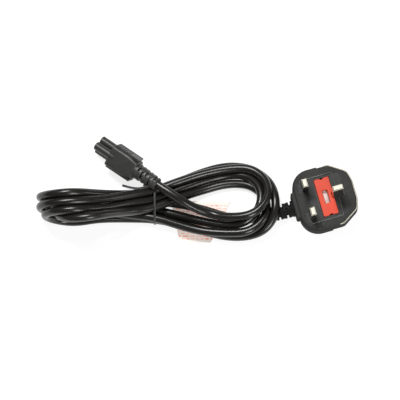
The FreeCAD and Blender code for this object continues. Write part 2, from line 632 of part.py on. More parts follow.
# The three pole connector, modelled along +X from its front shoulder and then laid in place
def connector_shell():
    body = new_body("connector_shell")
    outline = sketch_on(body, "shell_outline", "XY_Plane")
    polygon(outline, mirrored([("-sizes.shell_length", "sizes.shell_rear"),
                               ("-sizes.shell_straight", "sizes.shell_front"),
                               ("0", "sizes.shell_front")]))
    pad(body, outline, "shell_block", "sizes.shell_thick", symmetric=True)
    level = 0.5 * size("shell_thick")
    dress(body, "Fillet", "shell_edge_round", "sizes.shell_round",
          lambda edge: (level_at(level)(edge) or level_at(-level)(edge))
          and min(point.x for point in ends(edge)) < -0.01)
    dress(body, "Fillet", "shell_front_round", "sizes.shell_nose_round",
          lambda edge: all(abs(point.x) < 0.01 for point in ends(edge)))
    for name, sign in (("left", ""), ("right", "-")):
        grip = sketch_on(body, "%s_grip_plan" % name, "XY_Plane")
        inner = "%s(sizes.grip_out - sizes.grip_thick)" % sign
        outer = "%ssizes.grip_out" % sign
        low, high = (inner, outer) if sign == "" else (outer, inner)
        rectangle(grip, "-sizes.grip_rear", "-sizes.grip_front", low, high)
        pad(body, grip, "%s_grip_pad" % name, "2 * sizes.grip_half", symmetric=True)
        ribs = sketch_on(body, "%s_rib_plan" % name, "XY_Plane")
        for i in range(int(size("rib_count"))):
            start = "-(sizes.grip_front + sizes.rib_width + %d * sizes.rib_pitch)" % i
            crest = "%s(sizes.grip_out + sizes.rib_out)" % sign
            foot = "%s(sizes.grip_out - 0.5 * sizes.grip_thick)" % sign
            low, high = (foot, crest) if sign == "" else (crest, foot)
            rectangle(ribs, "%s - sizes.rib_width" % start, start, low, high)
        pad(body, ribs, "%s_rib_pad" % name, "2 * sizes.grip_half - sizes.grip_thick", symmetric=True)
    relief(body, "connector_relief", None, "sizes.boot_root", "sizes.connector_relief_end",
           "sizes.shell_length + sizes.slot_width", 4)
    return body


LOBES = (("line", "sizes.lobe_side", "-sizes.lobe_low"),
         ("neutral", "-sizes.lobe_side", "-sizes.lobe_low"),
         ("earth", "0", "sizes.lobe_high"))


def connector_nose():
    body = new_body("connector_nose")
    for name, side, up in LOBES:
        lobe = sketch_on(body, name + "_lobe", "YZ_Plane", lift="-sizes.nose_sunk")
        circle(lobe, side, up, "sizes.lobe_radius")
        pad(body, lobe, name + "_lobe_pad", "sizes.nose_sunk + sizes.nose_reach")
    middle = sketch_on(body, "nose_middle", "YZ_Plane", lift="-sizes.nose_sunk")
    polygon(middle, [("-sizes.lobe_side", "-(sizes.lobe_low + 0.6 * sizes.lobe_radius)"),
                     ("sizes.lobe_side", "-(sizes.lobe_low + 0.6 * sizes.lobe_radius)"),
                     ("sizes.lobe_side", "-sizes.lobe_low"), ("0.5 * sizes.lobe_radius", "sizes.lobe_high"),
                     ("-0.5 * sizes.lobe_radius", "sizes.lobe_high"), ("-sizes.lobe_side", "-sizes.lobe_low")])
    pad(body, middle, "nose_middle_pad", "sizes.nose_sunk + sizes.nose_reach")
    reach = size("nose_reach")
    dress(body, "Chamfer", "nose_chamfer", "sizes.lobe_chamfer",
          lambda edge: all(abs(point.x - reach) < 1e-4 for point in ends(edge)))
    entries = sketch_on(body, "pin_entries", "YZ_Plane", lift="sizes.nose_reach")
    for name, side, up in LOBES:
        circle(entries, side, up, "sizes.contact_bore")
    pocket(body, entries, "entry_cut", "sizes.entry_wall + sizes.overlap")
    rooms = sketch_on(body, "contact_rooms", "YZ_Plane", lift="sizes.nose_reach - sizes.entry_wall")
    for name, side, up in LOBES:
        circle(rooms, side, up, "sizes.contact_radius")
    pocket(body, rooms, "contact_room_cut")
    return body


def contact(name, side, up):
    """A round contact tube behind one entry hole, closed at its tail."""
    body = new_body("contact_" + name)
    barrel = sketch_on(body, name + "_contact_barrel", "YZ_Plane", lift="-sizes.nose_sunk")
    circle(barrel, side, up, "sizes.contact_radius")
    pad(body, barrel, name + "_contact_pad", "sizes.nose_sunk + sizes.nose_reach - sizes.entry_wall")
    bore = sketch_on(body, name + "_contact_bore", "YZ_Plane", lift="sizes.nose_reach - sizes.entry_wall")
    circle(bore, side, up, "sizes.contact_bore")
    pocket(body, bore, name + "_contact_cut", "sizes.contact_deep")
    return body


def contact_core(name, across, up, offset):
    """An insulated core from a contact's tail to the end of the connector's relief."""
    tail = -size("nose_sunk") - size("contact_tail")
    end = -size("connector_relief_end")
    straight = 0.5 * (tail + end)
    route = [(end, offset[0], offset[1]), (straight, offset[0], offset[1]), (tail, across, up)]
    return tube("connector_%s_core" % name, route, size("core_radius"))


# The hank and what is on it, placed in the lay frame: P along the hank, Q across it
def lay(p, q, z):
    turn = math.radians(size("lay_angle"))
    return FreeCAD.Vector(p * math.cos(turn) + q * math.sin(turn),
                          q * math.cos(turn) - p * math.sin(turn), z)


def connector_pose():
    """The connector's shoulder frame in the row frame, from the place of its relief end."""
    nose = FreeCAD.Rotation(FreeCAD.Vector(0, 0, 1), size("connector_turn") - size("lay_angle")) * \
        FreeCAD.Rotation(FreeCAD.Vector(0, 1, 0), size("connector_pitch")) * \
        FreeCAD.Rotation(FreeCAD.Vector(1, 0, 0), -size("connector_roll"))
    rear = lay(size("connector_end_p"), size("connector_end_q"), size("connector_end_z"))
    return FreeCAD.Placement(rear + nose.multVec(FreeCAD.Vector(size("connector_relief_end"), 0, 0)), nose)


HANK_OUTLINE = [(-22, 2.5), (-24.2, -13.5), (-37.5, -24.6), (-60, -27.4), (-96, -19.9), (-114.8, -14.2),
                (-140, -13.6), (-160, -17.6), (-178, -19), (-192, -15.5), (-202.5, -6), (-202, 4),
                (-190, 8), (-165, 7.6), (-130, 9), (-110, 14), (-81, 26), (-60, 31.4), (-42, 29), (-27, 18)]
HANK_HOLE = [(-90, 3.2), (-76, 7.3), (-58, 10.2), (-44, 9.5), (-37.8, 4), (-43, -3), (-58, -6), (-76, -1.8)]
HANK_SIDE = [(-186, 0), (-18, 0), (-18, 23), (-44, 21.5), (-60, 15), (-92, 14.2), (-119, 14.2),
             (-134, 22), (-152, 33), (-172, 43.5), (-186, 43.5), (-198, 37), (-203, 26), (-203, 17),
             (-198, 6)]


def hank_envelope():
    """The outer shape of the tied hank: its plan with the open loop, cut to its side view."""
    wires = []
    for points in (HANK_OUTLINE, HANK_HOLE):
        curve = Part.BSplineCurve()
        curve.interpolate([lay(p, q, 0) for p, q in points], PeriodicFlag=True)
        wires.append(Part.Wire(curve.toShape()))
    tallest = max(z for p, z in HANK_SIDE)
    widest = max(abs(q) for p, q in HANK_OUTLINE)
    plan = Part.Face(wires[0]).cut(Part.Face(wires[1])).Faces[0].extrude(FreeCAD.Vector(0, 0, tallest + 1))
    side = Part.Face(Part.makePolygon([lay(p, -2 * widest, z) for p, z in HANK_SIDE + HANK_SIDE[:1]]))
    return plan.common(side.extrude(lay(0, 4 * widest, 0)))


def tie_band():
    """The part of the twist tie that goes round the hank, flush in the hank's surface."""
    body = new_body("tie_band")
    ring = sketch_on(body, "tie_ring", "YZ_Plane")
    rectangle(ring, "sizes.tie_near", "sizes.tie_far", "0", "sizes.tie_high")
    rectangle(ring, "sizes.tie_near + sizes.tie_thick", "sizes.tie_far - sizes.tie_thick",
              "sizes.tie_thick", "sizes.tie_high - sizes.tie_thick")
    pad(body, ring, "tie_band_pad", "sizes.tie_wide", symmetric=True)
    body.Placement = FreeCAD.Placement(lay(size("tie_p"), 0, 0),
                                       FreeCAD.Rotation(FreeCAD.Vector(0, 0, 1), -size("lay_angle")))
    return body


def tie_tail():
    """The tie's free end, from the band's upper far edge along the top of the hank."""
    start = (size("tie_p"), size("tie_far") - 2 * size("tie_wide"), size("tie_high"))
    return tube("tie_tail", [lay(*point) for point in [start] + TIE_TAIL], 0.5 * size("tie_wide"))


# Routes chosen by hand: the plug's lead in the row frame, the others in the lay frame
PLUG_LEAD = [(-40.0, 0, 6.0), (-52.0, 1.8, 3.9)]
CONNECTOR_LEAD = [(-99.4, 2.7, 22.7), (-84.0, -6.8, 17.6), (-67.0, -10.2, 11.0)]
TIE_TAIL = [(-122.5, 9.6, 17.6), (-130.5, 9.2, 19.8), (-139.0, 11.6, 21.2)]


def relief_room():
    """The space that the outer turns leave over the plug's relief, open at the floor."""
    room = size("relief_root") + 2 * size("fit")
    length = size("relief_reach") - size("cord_edge")
    start = FreeCAD.Vector(-size("relief_reach") - 2 * size("fit"), 0, size("cord_height"))
    arch = Part.makeCylinder(room, length, start, FreeCAD.Vector(1, 0, 0))
    legs = Part.makeBox(length, 2 * room, start.z, FreeCAD.Vector(start.x, -room, 0))
    return arch.fuse(legs)


def fuse_together(label, pieces):
    joined = doc.addObject("Part::MultiFuse", label)
    joined.Shapes = pieces
    doc.recompute()
    return joined


def placed(pieces, placement):
    for piece in pieces:
        piece.Placement = placement
    return pieces


# The plug
shell = plug_shell()
block = bridge_block()
line_y = "sizes.live_half_gap"
neutral_y = "-sizes.live_half_gap"
line_pin = live_pin("line_pin", line_y)
neutral_pin = live_pin("neutral_pin", neutral_y)
line_sleeve = live_sleeve("line_sleeve", line_y)
neutral_sleeve = live_sleeve("neutral_sleeve", neutral_y)
earth = earth_pin()
clip_inner = "sizes.fuse_x - (sizes.fuse_radius + sizes.clip_gap)"
line_clip = fuse_clip("fuse_clip_pin", "sizes.clip_y",
                      ("0.5 * sizes.live_across", clip_inner,
                       "sizes.strap_high - sizes.strap_thick", "sizes.strap_high"))
cord_clip = fuse_clip("fuse_clip_cord", "-sizes.clip_y",
                      ("sizes.fuse_x - 0.5 * sizes.lug_wide", "sizes.fuse_x + 0.5 * sizes.lug_wide",
                       "sizes.lug_low", "sizes.fuse_height - (sizes.fuse_radius + sizes.clip_gap)"))
carrier = fuse_carrier()
cap_line = fuse_cap("fuse_cap_line", 1)
cap_cord = fuse_cap("fuse_cap_cord", -1)
ceramic = fuse_tube()
element = fuse_element()

reach = -size("relief_reach")
axis = size("cord_height")
core = size("core_radius")
lug = size("fuse_x") - 0.5 * size("lug_wide")
side = size("core_side")
below = axis - size("core_down")
low = size("core_low")
lowest = size("earth_core_low")
bend = -size("cord_edge") + size("core_bend")
far = size("earth_offset")
gap = size("live_half_gap")
line_core = tube("line_core", [(reach, 0, axis + size("core_up")), (bend, 0, axis + size("core_up")),
                               (-bend, 0.5 * -size("clip_y"), low), (0.6 * lug, -size("clip_y"), low),
                               (lug, -size("clip_y"), low)], core)
neutral_core = tube("neutral_core", [(reach, -side, below), (2 * bend, -side, below),
                                     (0, -gap, low), (0, -gap, size("live_root"))], core)
earth_core = tube("earth_core", [(reach, side, below), (bend, side, below), (-bend, side, lowest),
                                 (far, 0, lowest), (far, 0, size("earth_root"))], core)
plug_inside = [line_pin, neutral_pin, earth, line_clip, cord_clip, line_core, neutral_core, earth_core]
plug_body = cut("plug_body", shell, plug_inside)
pin_bridge = cut("pin_bridge", block, [line_pin, neutral_pin, line_sleeve, neutral_sleeve, earth,
                                       line_clip, cord_clip])

# The connector
pose = connector_pose()
housing = connector_shell()
nose = connector_nose()
contacts = [contact(*lobe) for lobe in LOBES]
offsets = {"line": (side, -size("core_down")), "neutral": (-side, -size("core_down")),
           "earth": (0, size("core_up"))}
places = {"line": (size("lobe_side"), -size("lobe_low")),
          "neutral": (-size("lobe_side"), -size("lobe_low")), "earth": (0, size("lobe_high"))}
cores = [contact_core(name, places[name][0], places[name][1], offsets[name]) for name in places]
placed([housing, nose] + contacts + cores, pose)
connector_body = cut("connector_body", housing, [nose] + contacts + cores)

# The flex and what is tied to it
cord = size("cord_radius")
plug_lead = tube("cord_plug_lead", [(reach, 0, axis)] + PLUG_LEAD, cord)
rear = (size("connector_end_p"), size("connector_end_q"), size("connector_end_z"))
connector_lead = tube("cord_connector_lead", [lay(*point) for point in [rear] + CONNECTOR_LEAD], cord)
tie = fuse_together("twist_tie", [tie_band(), tie_tail()])
tag = doc.addObject("Part::Box", "paper_tag")
tag.setExpression("Length", "sizes.tag_long")
tag.setExpression("Width", "sizes.tag_wide")
tag.setExpression("Height", "sizes.tag_thick")
tag.Placement = FreeCAD.Placement(lay(size("tag_p"), size("tag_q"), 0),
                                  FreeCAD.Rotation(FreeCAD.Vector(0, 0, 1), -size("lay_angle")))
doc.recompute()
hank_shape = hank_envelope().cut([relief_room(), plug_lead.Shape, connector_lead.Shape, tie.Shape, tag.Shape])
hank = feature_of("cord_hank", hank_shape)
doc.recompute()

NODES = {
    "plug_body": plug_body, "pin_bridge": pin_bridge, "line_pin": line_pin, "neutral_pin": neutral_pin,
    "earth_pin": earth, "line_sleeve": line_sleeve, "neutral_sleeve": neutral_sleeve,
    "fuse_clip_pin": line_clip, "fuse_clip_cord": cord_clip, "line_core": line_core,
    "neutral_core": neutral_core, "earth_core": earth_core, "fuse_carrier": carrier,
    "fuse_tube": ceramic, "fuse_cap_line": cap_line, "fuse_cap_cord": cap_cord,
    "fuse_element": element, "connector_body": connector_body, "connector_nose": nose,
    "cord_plug_lead": plug_lead, "cord_connector_lead": connector_lead, "cord_hank": hank,
    "twist_tie": tie, "paper_tag": tag,
}
for (name, side, up), piece, wire in zip(LOBES, contacts, cores):
    NODES["contact_" + name] = piece
    NODES["connector_%s_core" % name] = wire

for thing in doc.Objects:
    if "Invalid" in thing.State or "Error" in thing.State:
        raise RuntimeError("%s failed" % thing.Label)
for name, thing in NODES.items():
    shape = thing.Shape
    if shape.isNull() or not shape.isValid() or not shape.Solids:
        raise RuntimeError("%s has no valid solid" % name)
    thing.Label = name
for name, thing in NODES.items():
    thing.Shape.exportStep("parts/%s.step" % name)
    print("%s: %d solid, volume %.1f" % (name, len(thing.Shape.Solids), thing.Shape.Volume))
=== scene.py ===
"""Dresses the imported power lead: a three pin plug, its flex in a tied hank and a three pole connector."""

import math

import bmesh
import bpy
from bpy.props import FloatProperty, FloatVectorProperty, IntProperty, PointerProperty
from mathutils import Matrix, Vector
from mathutils.geometry import convex_hull_2d


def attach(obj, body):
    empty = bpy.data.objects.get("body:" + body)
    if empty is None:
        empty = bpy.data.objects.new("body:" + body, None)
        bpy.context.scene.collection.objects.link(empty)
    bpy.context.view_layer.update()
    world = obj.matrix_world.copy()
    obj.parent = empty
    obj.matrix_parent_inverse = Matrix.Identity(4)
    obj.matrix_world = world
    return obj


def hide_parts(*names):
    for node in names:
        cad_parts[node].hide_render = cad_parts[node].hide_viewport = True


bl_info = {
    "name": "Power lead with three pin plug",
    "version": (1, 0, 0),
    "blender": (4, 5, 0),
    "location": "View3D > Sidebar > Power lead",
    "description": "Builds the looks of a tied power lead round its solids",
    "category": "Object",
}

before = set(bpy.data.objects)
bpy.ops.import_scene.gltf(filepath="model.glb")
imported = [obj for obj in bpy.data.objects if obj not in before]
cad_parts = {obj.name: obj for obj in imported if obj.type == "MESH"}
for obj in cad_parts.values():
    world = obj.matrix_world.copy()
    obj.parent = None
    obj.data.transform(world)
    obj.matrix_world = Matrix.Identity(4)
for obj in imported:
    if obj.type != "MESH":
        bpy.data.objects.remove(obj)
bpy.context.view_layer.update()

MM = 0.001
LAY_TURN = math.radians(16.0)
BODY = "lead"
MERGE_DISTANCE = 1e-6

# The flex's route in the hank's own frame, in millimetres: along the hank, across it, and up. The points
# were first set from the photo, with a formula at the folds. A fit then moved them so that the turns lie
# beside each other, and these are its numbers, with twelve points moved on one by one.
LEAD_OUT = [
    (-30.3, -8.7, 6), (-38.4, -11, 5.9), (-52, -11.4, 3.7), (-64, -8.1, 3.3), (-82, -2.3, 3.3),
    (-98, 1.2, 3.3),
]
TURNS = [
    [
        (-114.8, 2.6, 3.3), (-135, 3.6, 3.6), (-155.7, 5.3, 6.8), (-175.4, 6.8, 2.6),
        (-190.7, 4.9, 4.3), (-199.9, 3.1, 14.8), (-200, 1.9, 28), (-190.7, 1.7, 38.9),
        (-174.1, 2.8, 41), (-153.2, 3.9, 26), (-134.1, 6.3, 12.2), (-114.8, 9.3, 4.2), (-98, 17, 3.4),
        (-80, 24.7, 3.3), (-61.9, 29.7, 3.3), (-45.8, 28.7, 3.3), (-34.5, 22.6, 4.9),
        (-27.4, 14.3, 8.6), (-24.7, 4.5, 12.9), (-24.4, -5, 14), (-26.9, -13.8, 12), (-34, -21.1, 9.1),
        (-45.9, -24.4, 4.9), (-62, -24, 3.3), (-80, -19.3, 3.3), (-98, -14.2, 3.3),
    ],
    [
        (-114.8, -10.5, 3.4), (-135, -10, 3.2), (-156.1, -10.5, 5.4), (-173.7, -13, 2.7),
        (-186.9, -12, 4.5), (-196.1, -11.1, 14.7), (-196.3, -10.8, 28.2), (-186.9, -10.8, 39),
        (-171.1, -10.3, 40.9), (-151.2, -6.8, 28), (-133.2, -0.9, 16.8), (-114.9, 2.7, 9.7),
        (-98.4, 10.6, 6.8), (-80.2, 17.8, 4.8), (-61.3, 23.2, 2.6), (-46.9, 22.6, 5.7),
        (-38.2, 15.7, 10), (-35, 6.5, 12.9), (-36.1, -2.1, 14.2), (-40.5, -10, 14.3), (-49.4, -16, 13),
        (-61.9, -16.9, 9.3), (-80, -12.5, 3.8), (-98, -7.6, 3.5),
    ],
    [
        (-114.8, -3.9, 4), (-135, -3.2, 3.7), (-151.5, -2.5, 5.4), (-165.1, 0.1, 2.5), (-178, 0, 5.7),
        (-187, -5.4, 14.7), (-187.3, -12.1, 27.2), (-177.8, -16.8, 37.8), (-162, -15.8, 41),
        (-146.1, -11, 30.9), (-130.7, -7.2, 16.4), (-114.7, -3.8, 12.8), (-97.5, 4.3, 9.1),
        (-79.7, 11, 3.9), (-61.9, 16.3, 3.6), (-46.4, 16.2, 3.1), (-37.8, 11.5, 4.3),
        (-32.8, 5.4, 6.8), (-30.7, -2.1, 10), (-32.2, -9.8, 13.1), (-37.2, -17.4, 14.8),
        (-47, -23.1, 15.2), (-62, -22.9, 12.3), (-80, -21.2, 9.6), (-98, -16.2, 9.6),
    ],
    [
        (-114.8, -10.6, 9.9), (-135, -8.3, 9.5), (-156, -5.9, 11.2), (-177.5, -6.4, 2),
        (-191.8, -5.5, 5.2), (-199.9, -5.3, 15.5), (-200, -5, 27.8), (-191.3, -4.6, 38.6),
        (-174.4, -4, 41), (-152.5, -1.1, 32), (-133.9, 4.7, 19.9), (-114.9, 9.4, 11.6),
        (-98.1, 16.1, 10.9), (-80, 22.5, 9.5), (-61.9, 26.5, 9), (-44.4, 27.3, 10.1),
        (-33.7, 19.9, 13.3), (-30.1, 10.8, 16.4), (-30.7, 3.3, 18.6), (-34.4, -4.5, 20.5),
        (-44.1, -11.5, 21.2),
    ],
]
LEAD_IN = [
    (-59.9, -12, 17.4), (-72, -9, 13.2), (-85, -5, 16.5), (-99.4, 2.9, 22.6),
    (-112.9, 12.5, 19.9),
]

# Where the flex leaves the plug's relief, and the soft lobes round its sheath and their turns along it
EXIT = (-31.5 * MM, 0.0, 6.0 * MM)
SHEATH_LOBES = 6
SHEATH_TWIST = 1.0

# The twist tie's place along the hank, its lift off the floor and its loose ends, in the hank's frame
TIE_PLACE = -114.8
TIE_LIFT = 0.2
TIE_STEPS = 24
TIE_TAILS = [
    [(-113.6, 11.9, 14.9), (-117.2, 13.4, 15.6), (-122.5, 10.4, 17.4), (-130.5, 9.2, 19.6),
     (-139.0, 11.6, 21.2)],
    [(-113.6, 11.9, 14.9), (-116.0, 10.2, 16.6), (-119.5, 11.6, 17.4), (-123.5, 12.6, 17.0)],
]

# The tag's near and far edges in the hank's frame, and the part of it that carries print
TAG_NEAR = {"left": -96.0, "right": -73.0, "across": -28.3}
TAG_FAR = {"left": -102.7, "right": -58.0, "across": 3.4}
TAG_PRINT = {"middle": (22.4, 15.8), "reach": (19.0, 13.8)}
# The tag paper's glow: painted light that lifts the paper where the hank's strands shade it
TAG_PAINTED_LIGHT = 0.35

# How the tag stands off the floor: its curled near edge, and its bulge between the strands
TAG_FLOOR_GAP = 0.02
TAG_CURL = {"height": 1.4, "reach": 6.0, "width": 35.0}
TAG_BULGE = {"height": 1.2, "start": 17.5, "reach": 14.2, "left": 8.0, "half_wave": 42.29}

# The strain reliefs: where each starts and how it points, and its turned form, in millimetres
PLUG_RELIEF = {"root": 5.85, "taper": 0.022, "length": 20.0, "wide": 1.06, "rings": 6}
BOOT_RELIEF = {"root": 6.3, "taper": 0.034, "length": 19.0, "wide": 1.0, "rings": 5}
RELIEF_START = -11.55
RELIEF_BORE = 3.0
RELIEF_CORE = 3.7
RELIEF_STEPS = 40
WEB_SWEEP = 0.88 * math.pi
BOOT_END = (-112.9, 12.5, 19.9)
BOOT_TURN = math.radians(143.9)
BOOT_PITCH = math.radians(10.9)

# Fine ridges on the plug's face, beside the pin bridge's edge and the fuse carrier, in millimetres. Their
# pale plastic is a painted highlight along the ridges.
BRIDGE_RIDGE = [
    (-2.7, 15.2), (-2.2, 16.6), (-0.6, 16.9), (3.0, 16.9), (11.0, 16.9), (20.8, 16.9), (22.5, 16.7),
    (22.7, 15.0), (22.7, 9.0), (22.7, 3.1),
]
FACE_RIDGES = [
    BRIDGE_RIDGE,
    [(along, -across) for along, across in BRIDGE_RIDGE],
    [(6.95, -8.4), (6.95, 0.0), (6.95, 8.4)],
    [(6.2, -18.0), (6.0, -19.2), (5.8, -20.6)],
    [(27.2, -2.4), (27.4, 0.0), (27.2, 2.4)],
]
RIDGE_HEIGHT = 17.42
RIDGE_RADIUS = 0.4

# The pale line on the plug's rim, a painted highlight where the round of the face edge catches the light: its
# height, where it starts towards the earth pin, its radius
RIM_HEIGHT = 16.86
RIM_START = 13.4
RIM_RADIUS = 0.42

# The picture: its width in pixels, its scale, its angle above the floor and what its middle shows
PICTURE_WIDTH = 400
PIXELS_PER_MM = 1.335
VIEW_ANGLE = math.radians(79.0)
VIEW_CENTRE = (-81.0, 4.56, 0.0)
FLOOR_GLOW = 0.8

# The soft lights: their way to the right, up the picture and up from the floor, and their size, in metres
LIGHTS = {
    "key": ((-0.2, 0.46, 1.02), (0.5, 0.22)),
    "fill": ((0.35, -0.75, 0.7), (0.3, 0.5)),
    "side": ((0.95, -0.15, 0.35), (0.2, 0.5)),
}

# The shader groups by name, as main() makes them
GROUPS = {}


def lay(point):
    """A point of the hank's own frame, in millimetres, as a place in the shared frame, in metres."""
    along, across, up = point
    cosine, sine = math.cos(LAY_TURN), math.sin(LAY_TURN)
    return Vector((along * cosine + across * sine, across * cosine - along * sine, up)) * MM


def unlay(point):
    """A place in the shared frame, in metres, as a point of the hank's own frame, in millimetres."""
    cosine, sine = math.cos(LAY_TURN), math.sin(LAY_TURN)
    along = point.x * cosine - point.y * sine
    across = point.x * sine + point.y * cosine
    return (along / MM, across / MM, point.z / MM)


def link(obj):
    """Puts an object in the scene."""
    bpy.context.scene.collection.objects.link(obj)
    return obj


# Shader trees
class Tree:
    """Adds nodes to one node tree and links them."""

    def __init__(self, tree):
        self.tree = tree
        self.column = 0

    def add(self, kind, values=None, **settings):
        node = self.tree.nodes.new(kind)
        node.location = (200 * self.column, 0)
        self.column += 1
        for name, value in settings.items():
            setattr(node, name, value)
        for name, value in (values or {}).items():
            self.feed(node.inputs[name], value)
        return node

    def feed(self, socket, value):
        """Links a value that comes from a node, or sets a plain one."""
        if isinstance(value, bpy.types.NodeSocket):
            self.tree.links.new(value, socket)
        else:
            socket.default_value = value

    def math(self, operation, first, second=0.0, clamp=False):
        node = self.add("ShaderNodeMath", {0: first, 1: second}, operation=operation, use_clamp=clamp)
        return node.outputs[0]

    def mix(self, factor, first, second):
        node = self.add("ShaderNodeMix", data_type="RGBA")
        colours = [socket for socket in node.inputs if socket.type == "RGBA"]
        for socket, value in ((node.inputs[0], factor), (colours[0], first), (colours[1], second)):
            self.feed(socket, value)
        return [socket for socket in node.outputs if socket.type == "RGBA"][0]

    def spread(self, value, low, high, start=0.0, end=1.0):
        node = self.add("ShaderNodeMapRange", {"Value": value, "From Min": low, "From Max": high,
                                               "To Min": start, "To Max": end})
        return node.outputs[0]

    def noise(self, place, scale, detail=2.0, roughness=0.5):
        node = self.add("ShaderNodeTexNoise", {"Vector": place, "Scale": scale, "Detail": detail,
                                               "Roughness": roughness})
        return node.outputs["Fac"]

    def within(self, value, middle, reach):
        """One where a value lies within reach of a middle value, else nought."""
        gap = self.math("ABSOLUTE", self.math("SUBTRACT", value, middle))
        return self.math("LESS_THAN", gap, reach)


def shader_group(name, inputs, outputs):
    """An empty shader group with its sockets, its tree helper and the ends to link to."""
    group = bpy.data.node_groups.new(name, "ShaderNodeTree")
    for label, kind, default in inputs:
        socket = group.interface.new_socket(label, in_out="INPUT", socket_type=kind)
        socket.default_value = default
    for label, kind in outputs:
        group.interface.new_socket(label, in_out="OUTPUT", socket_type=kind)
    tree = Tree(group)
    return group, tree, tree.add("NodeGroupInput"), tree.add("NodeGroupOutput")


def moulded_skin():
    """Moulded plastic: a spark-grained surface, flow mottling, rubbed patches and settled dust."""
    group, tree, given, result = shader_group(
        "moulded_skin",
        [("Base", "NodeSocketColor", (0.05, 0.05, 0.05, 1)),
         ("Rubbed", "NodeSocketColor", (0.1, 0.1, 0.1, 1)),
         ("Roughness", "NodeSocketFloat", 0.4), ("Side Roughness", "NodeSocketFloat", 0.0),
         ("Grain Scale", "NodeSocketFloat", 3000.0), ("Dust", "NodeSocketFloat", 0.1)],
        [("Color", "NodeSocketColor"), ("Roughness", "NodeSocketFloat"), ("Height", "NodeSocketFloat")])
    place = tree.add("ShaderNodeTexCoord").outputs["Object"]
    grain = tree.noise(place, given.outputs["Grain Scale"], 3.0, 0.6)
    flow = tree.noise(place, 55.0, 3.0, 0.55)
    scuff = tree.noise(place, 420.0, 4.0, 0.65)
    specks = tree.noise(place, 1900.0, 1.0, 0.5)
    up = tree.add("ShaderNodeSeparateXYZ",
                  {0: tree.add("ShaderNodeNewGeometry").outputs["Normal"]}).outputs["Z"]
    rubbed = tree.math("MULTIPLY", tree.spread(flow, 0.42, 0.72), tree.spread(scuff, 0.35, 0.75))
    colour = tree.mix(rubbed, given.outputs["Base"], given.outputs["Rubbed"])
    settled = tree.math("MULTIPLY", tree.spread(up, 0.2, 1.0), tree.spread(specks, 0.66, 0.78))
    settled = tree.math("MULTIPLY", settled, given.outputs["Dust"], clamp=True)
    colour = tree.mix(settled, colour, (0.32, 0.31, 0.29, 1))
    rough = tree.math("ADD", given.outputs["Roughness"], tree.spread(scuff, 0.3, 0.7, -0.05, 0.07))
    side = tree.spread(tree.math("ABSOLUTE", up), 0.75, 0.25)
    rough = tree.math("ADD", rough, tree.math("MULTIPLY", side, given.outputs["Side Roughness"]))
    rough = tree.math("ADD", rough, tree.math("MULTIPLY", settled, 0.3), clamp=True)
    links = tree.tree.links
    links.new(colour, result.inputs["Color"])
    links.new(rough, result.inputs["Roughness"])
    links.new(tree.math("ADD", grain, tree.math("MULTIPLY", scuff, 0.6)), result.inputs["Height"])
    return group


def drawn_lines():
    """Fine lines along Z, as on drawn and plated metal, with small nicks and frosted upper ends."""
    group, tree, given, result = shader_group(
        "drawn_lines",
        [("Line Scale", "NodeSocketFloat", 3000.0), ("Base", "NodeSocketColor", (0.9, 0.87, 0.8, 1)),
         ("Dull", "NodeSocketColor", (0.7, 0.66, 0.58, 1))],
        [("Color", "NodeSocketColor"), ("Roughness", "NodeSocketFloat"), ("Metallic", "NodeSocketFloat"),
         ("Height", "NodeSocketFloat")])
    place = tree.add("ShaderNodeTexCoord").outputs["Object"]
    up = tree.add("ShaderNodeSeparateXYZ",
                  {0: tree.add("ShaderNodeNewGeometry").outputs["Normal"]}).outputs["Z"]
    end = tree.spread(up, 0.6, 0.95)
    stretched = tree.add("ShaderNodeMapping", {"Vector": place, "Scale": (1.0, 1.0, 0.03)}).outputs[0]
    lines = tree.noise(stretched, given.outputs["Line Scale"], 2.0, 0.5)
    tarnish = tree.noise(place, 260.0, 4.0, 0.6)
    nicks = tree.noise(place, 2600.0, 1.0, 0.4)
    links = tree.tree.links
    links.new(tree.mix(tree.spread(tarnish, 0.45, 0.75), given.outputs["Base"], given.outputs["Dull"]),
              result.inputs["Color"])
    walls = tree.spread(tree.math("ADD", lines, tarnish), 0.6, 1.4, 0.08, 0.2)
    links.new(tree.math("ADD", walls, tree.math("MULTIPLY", end, 0.35)), result.inputs["Roughness"])
    links.new(tree.spread(end, 0.0, 1.0, 1.0, 0.35), result.inputs["Metallic"])
    links.new(tree.math("ADD", lines, tree.spread(nicks, 0.68, 0.8, 0.0, -1.0)), result.inputs["Height"])
    return group


def material(name):
    """An empty material and its tree helper."""
    made = bpy.data.materials.new(name)
    made.use_nodes = True
    made.node_tree.nodes.clear()
    return made, Tree(made.node_tree)


def finish_material(tree, values, height=None, depth=0.0):
    """Closes a material with a bump and a Principled shader."""
    if height is not None:
        bump = tree.add("ShaderNodeBump", {"Height": height, "Distance": depth, "Strength": 1.0})
        values = dict(values, Normal=bump.outputs[0])
    shader = tree.add("ShaderNodeBsdfPrincipled", values)
    tree.add("ShaderNodeOutputMaterial", {"Surface": shader.outputs[0]})


def linear(colour):
    """A colour picked as shown on a screen, as the shader's linear values."""
    values = [c / 12.92 if c <= 0.04045 else ((c + 0.055) / 1.055) ** 2.4 for c in colour]
    return (*values, 1.0)


def plastic(name, colour, roughness, grain=2600.0, depth=0.00003, dust=0.1, rubbed=1.35, side=0.0,
            shine=0.5):
    """A moulded plastic in one colour, by the shared skin."""
    made, tree = material(name)
    base = linear(colour)
    worn = tuple(min(1.0, c * rubbed) for c in base[:3]) + (1.0,)
    skin = tree.add("ShaderNodeGroup", node_tree=GROUPS["moulded_skin"])
    for label, value in (("Base", base), ("Rubbed", worn), ("Roughness", roughness),
                         ("Side Roughness", side), ("Grain Scale", grain), ("Dust", dust)):
        skin.inputs[label].default_value = value
    finish_material(tree, {"Base Color": skin.outputs["Color"], "Roughness": skin.outputs["Roughness"],
                           "Specular IOR Level": shine}, skin.outputs["Height"], depth)
    return made


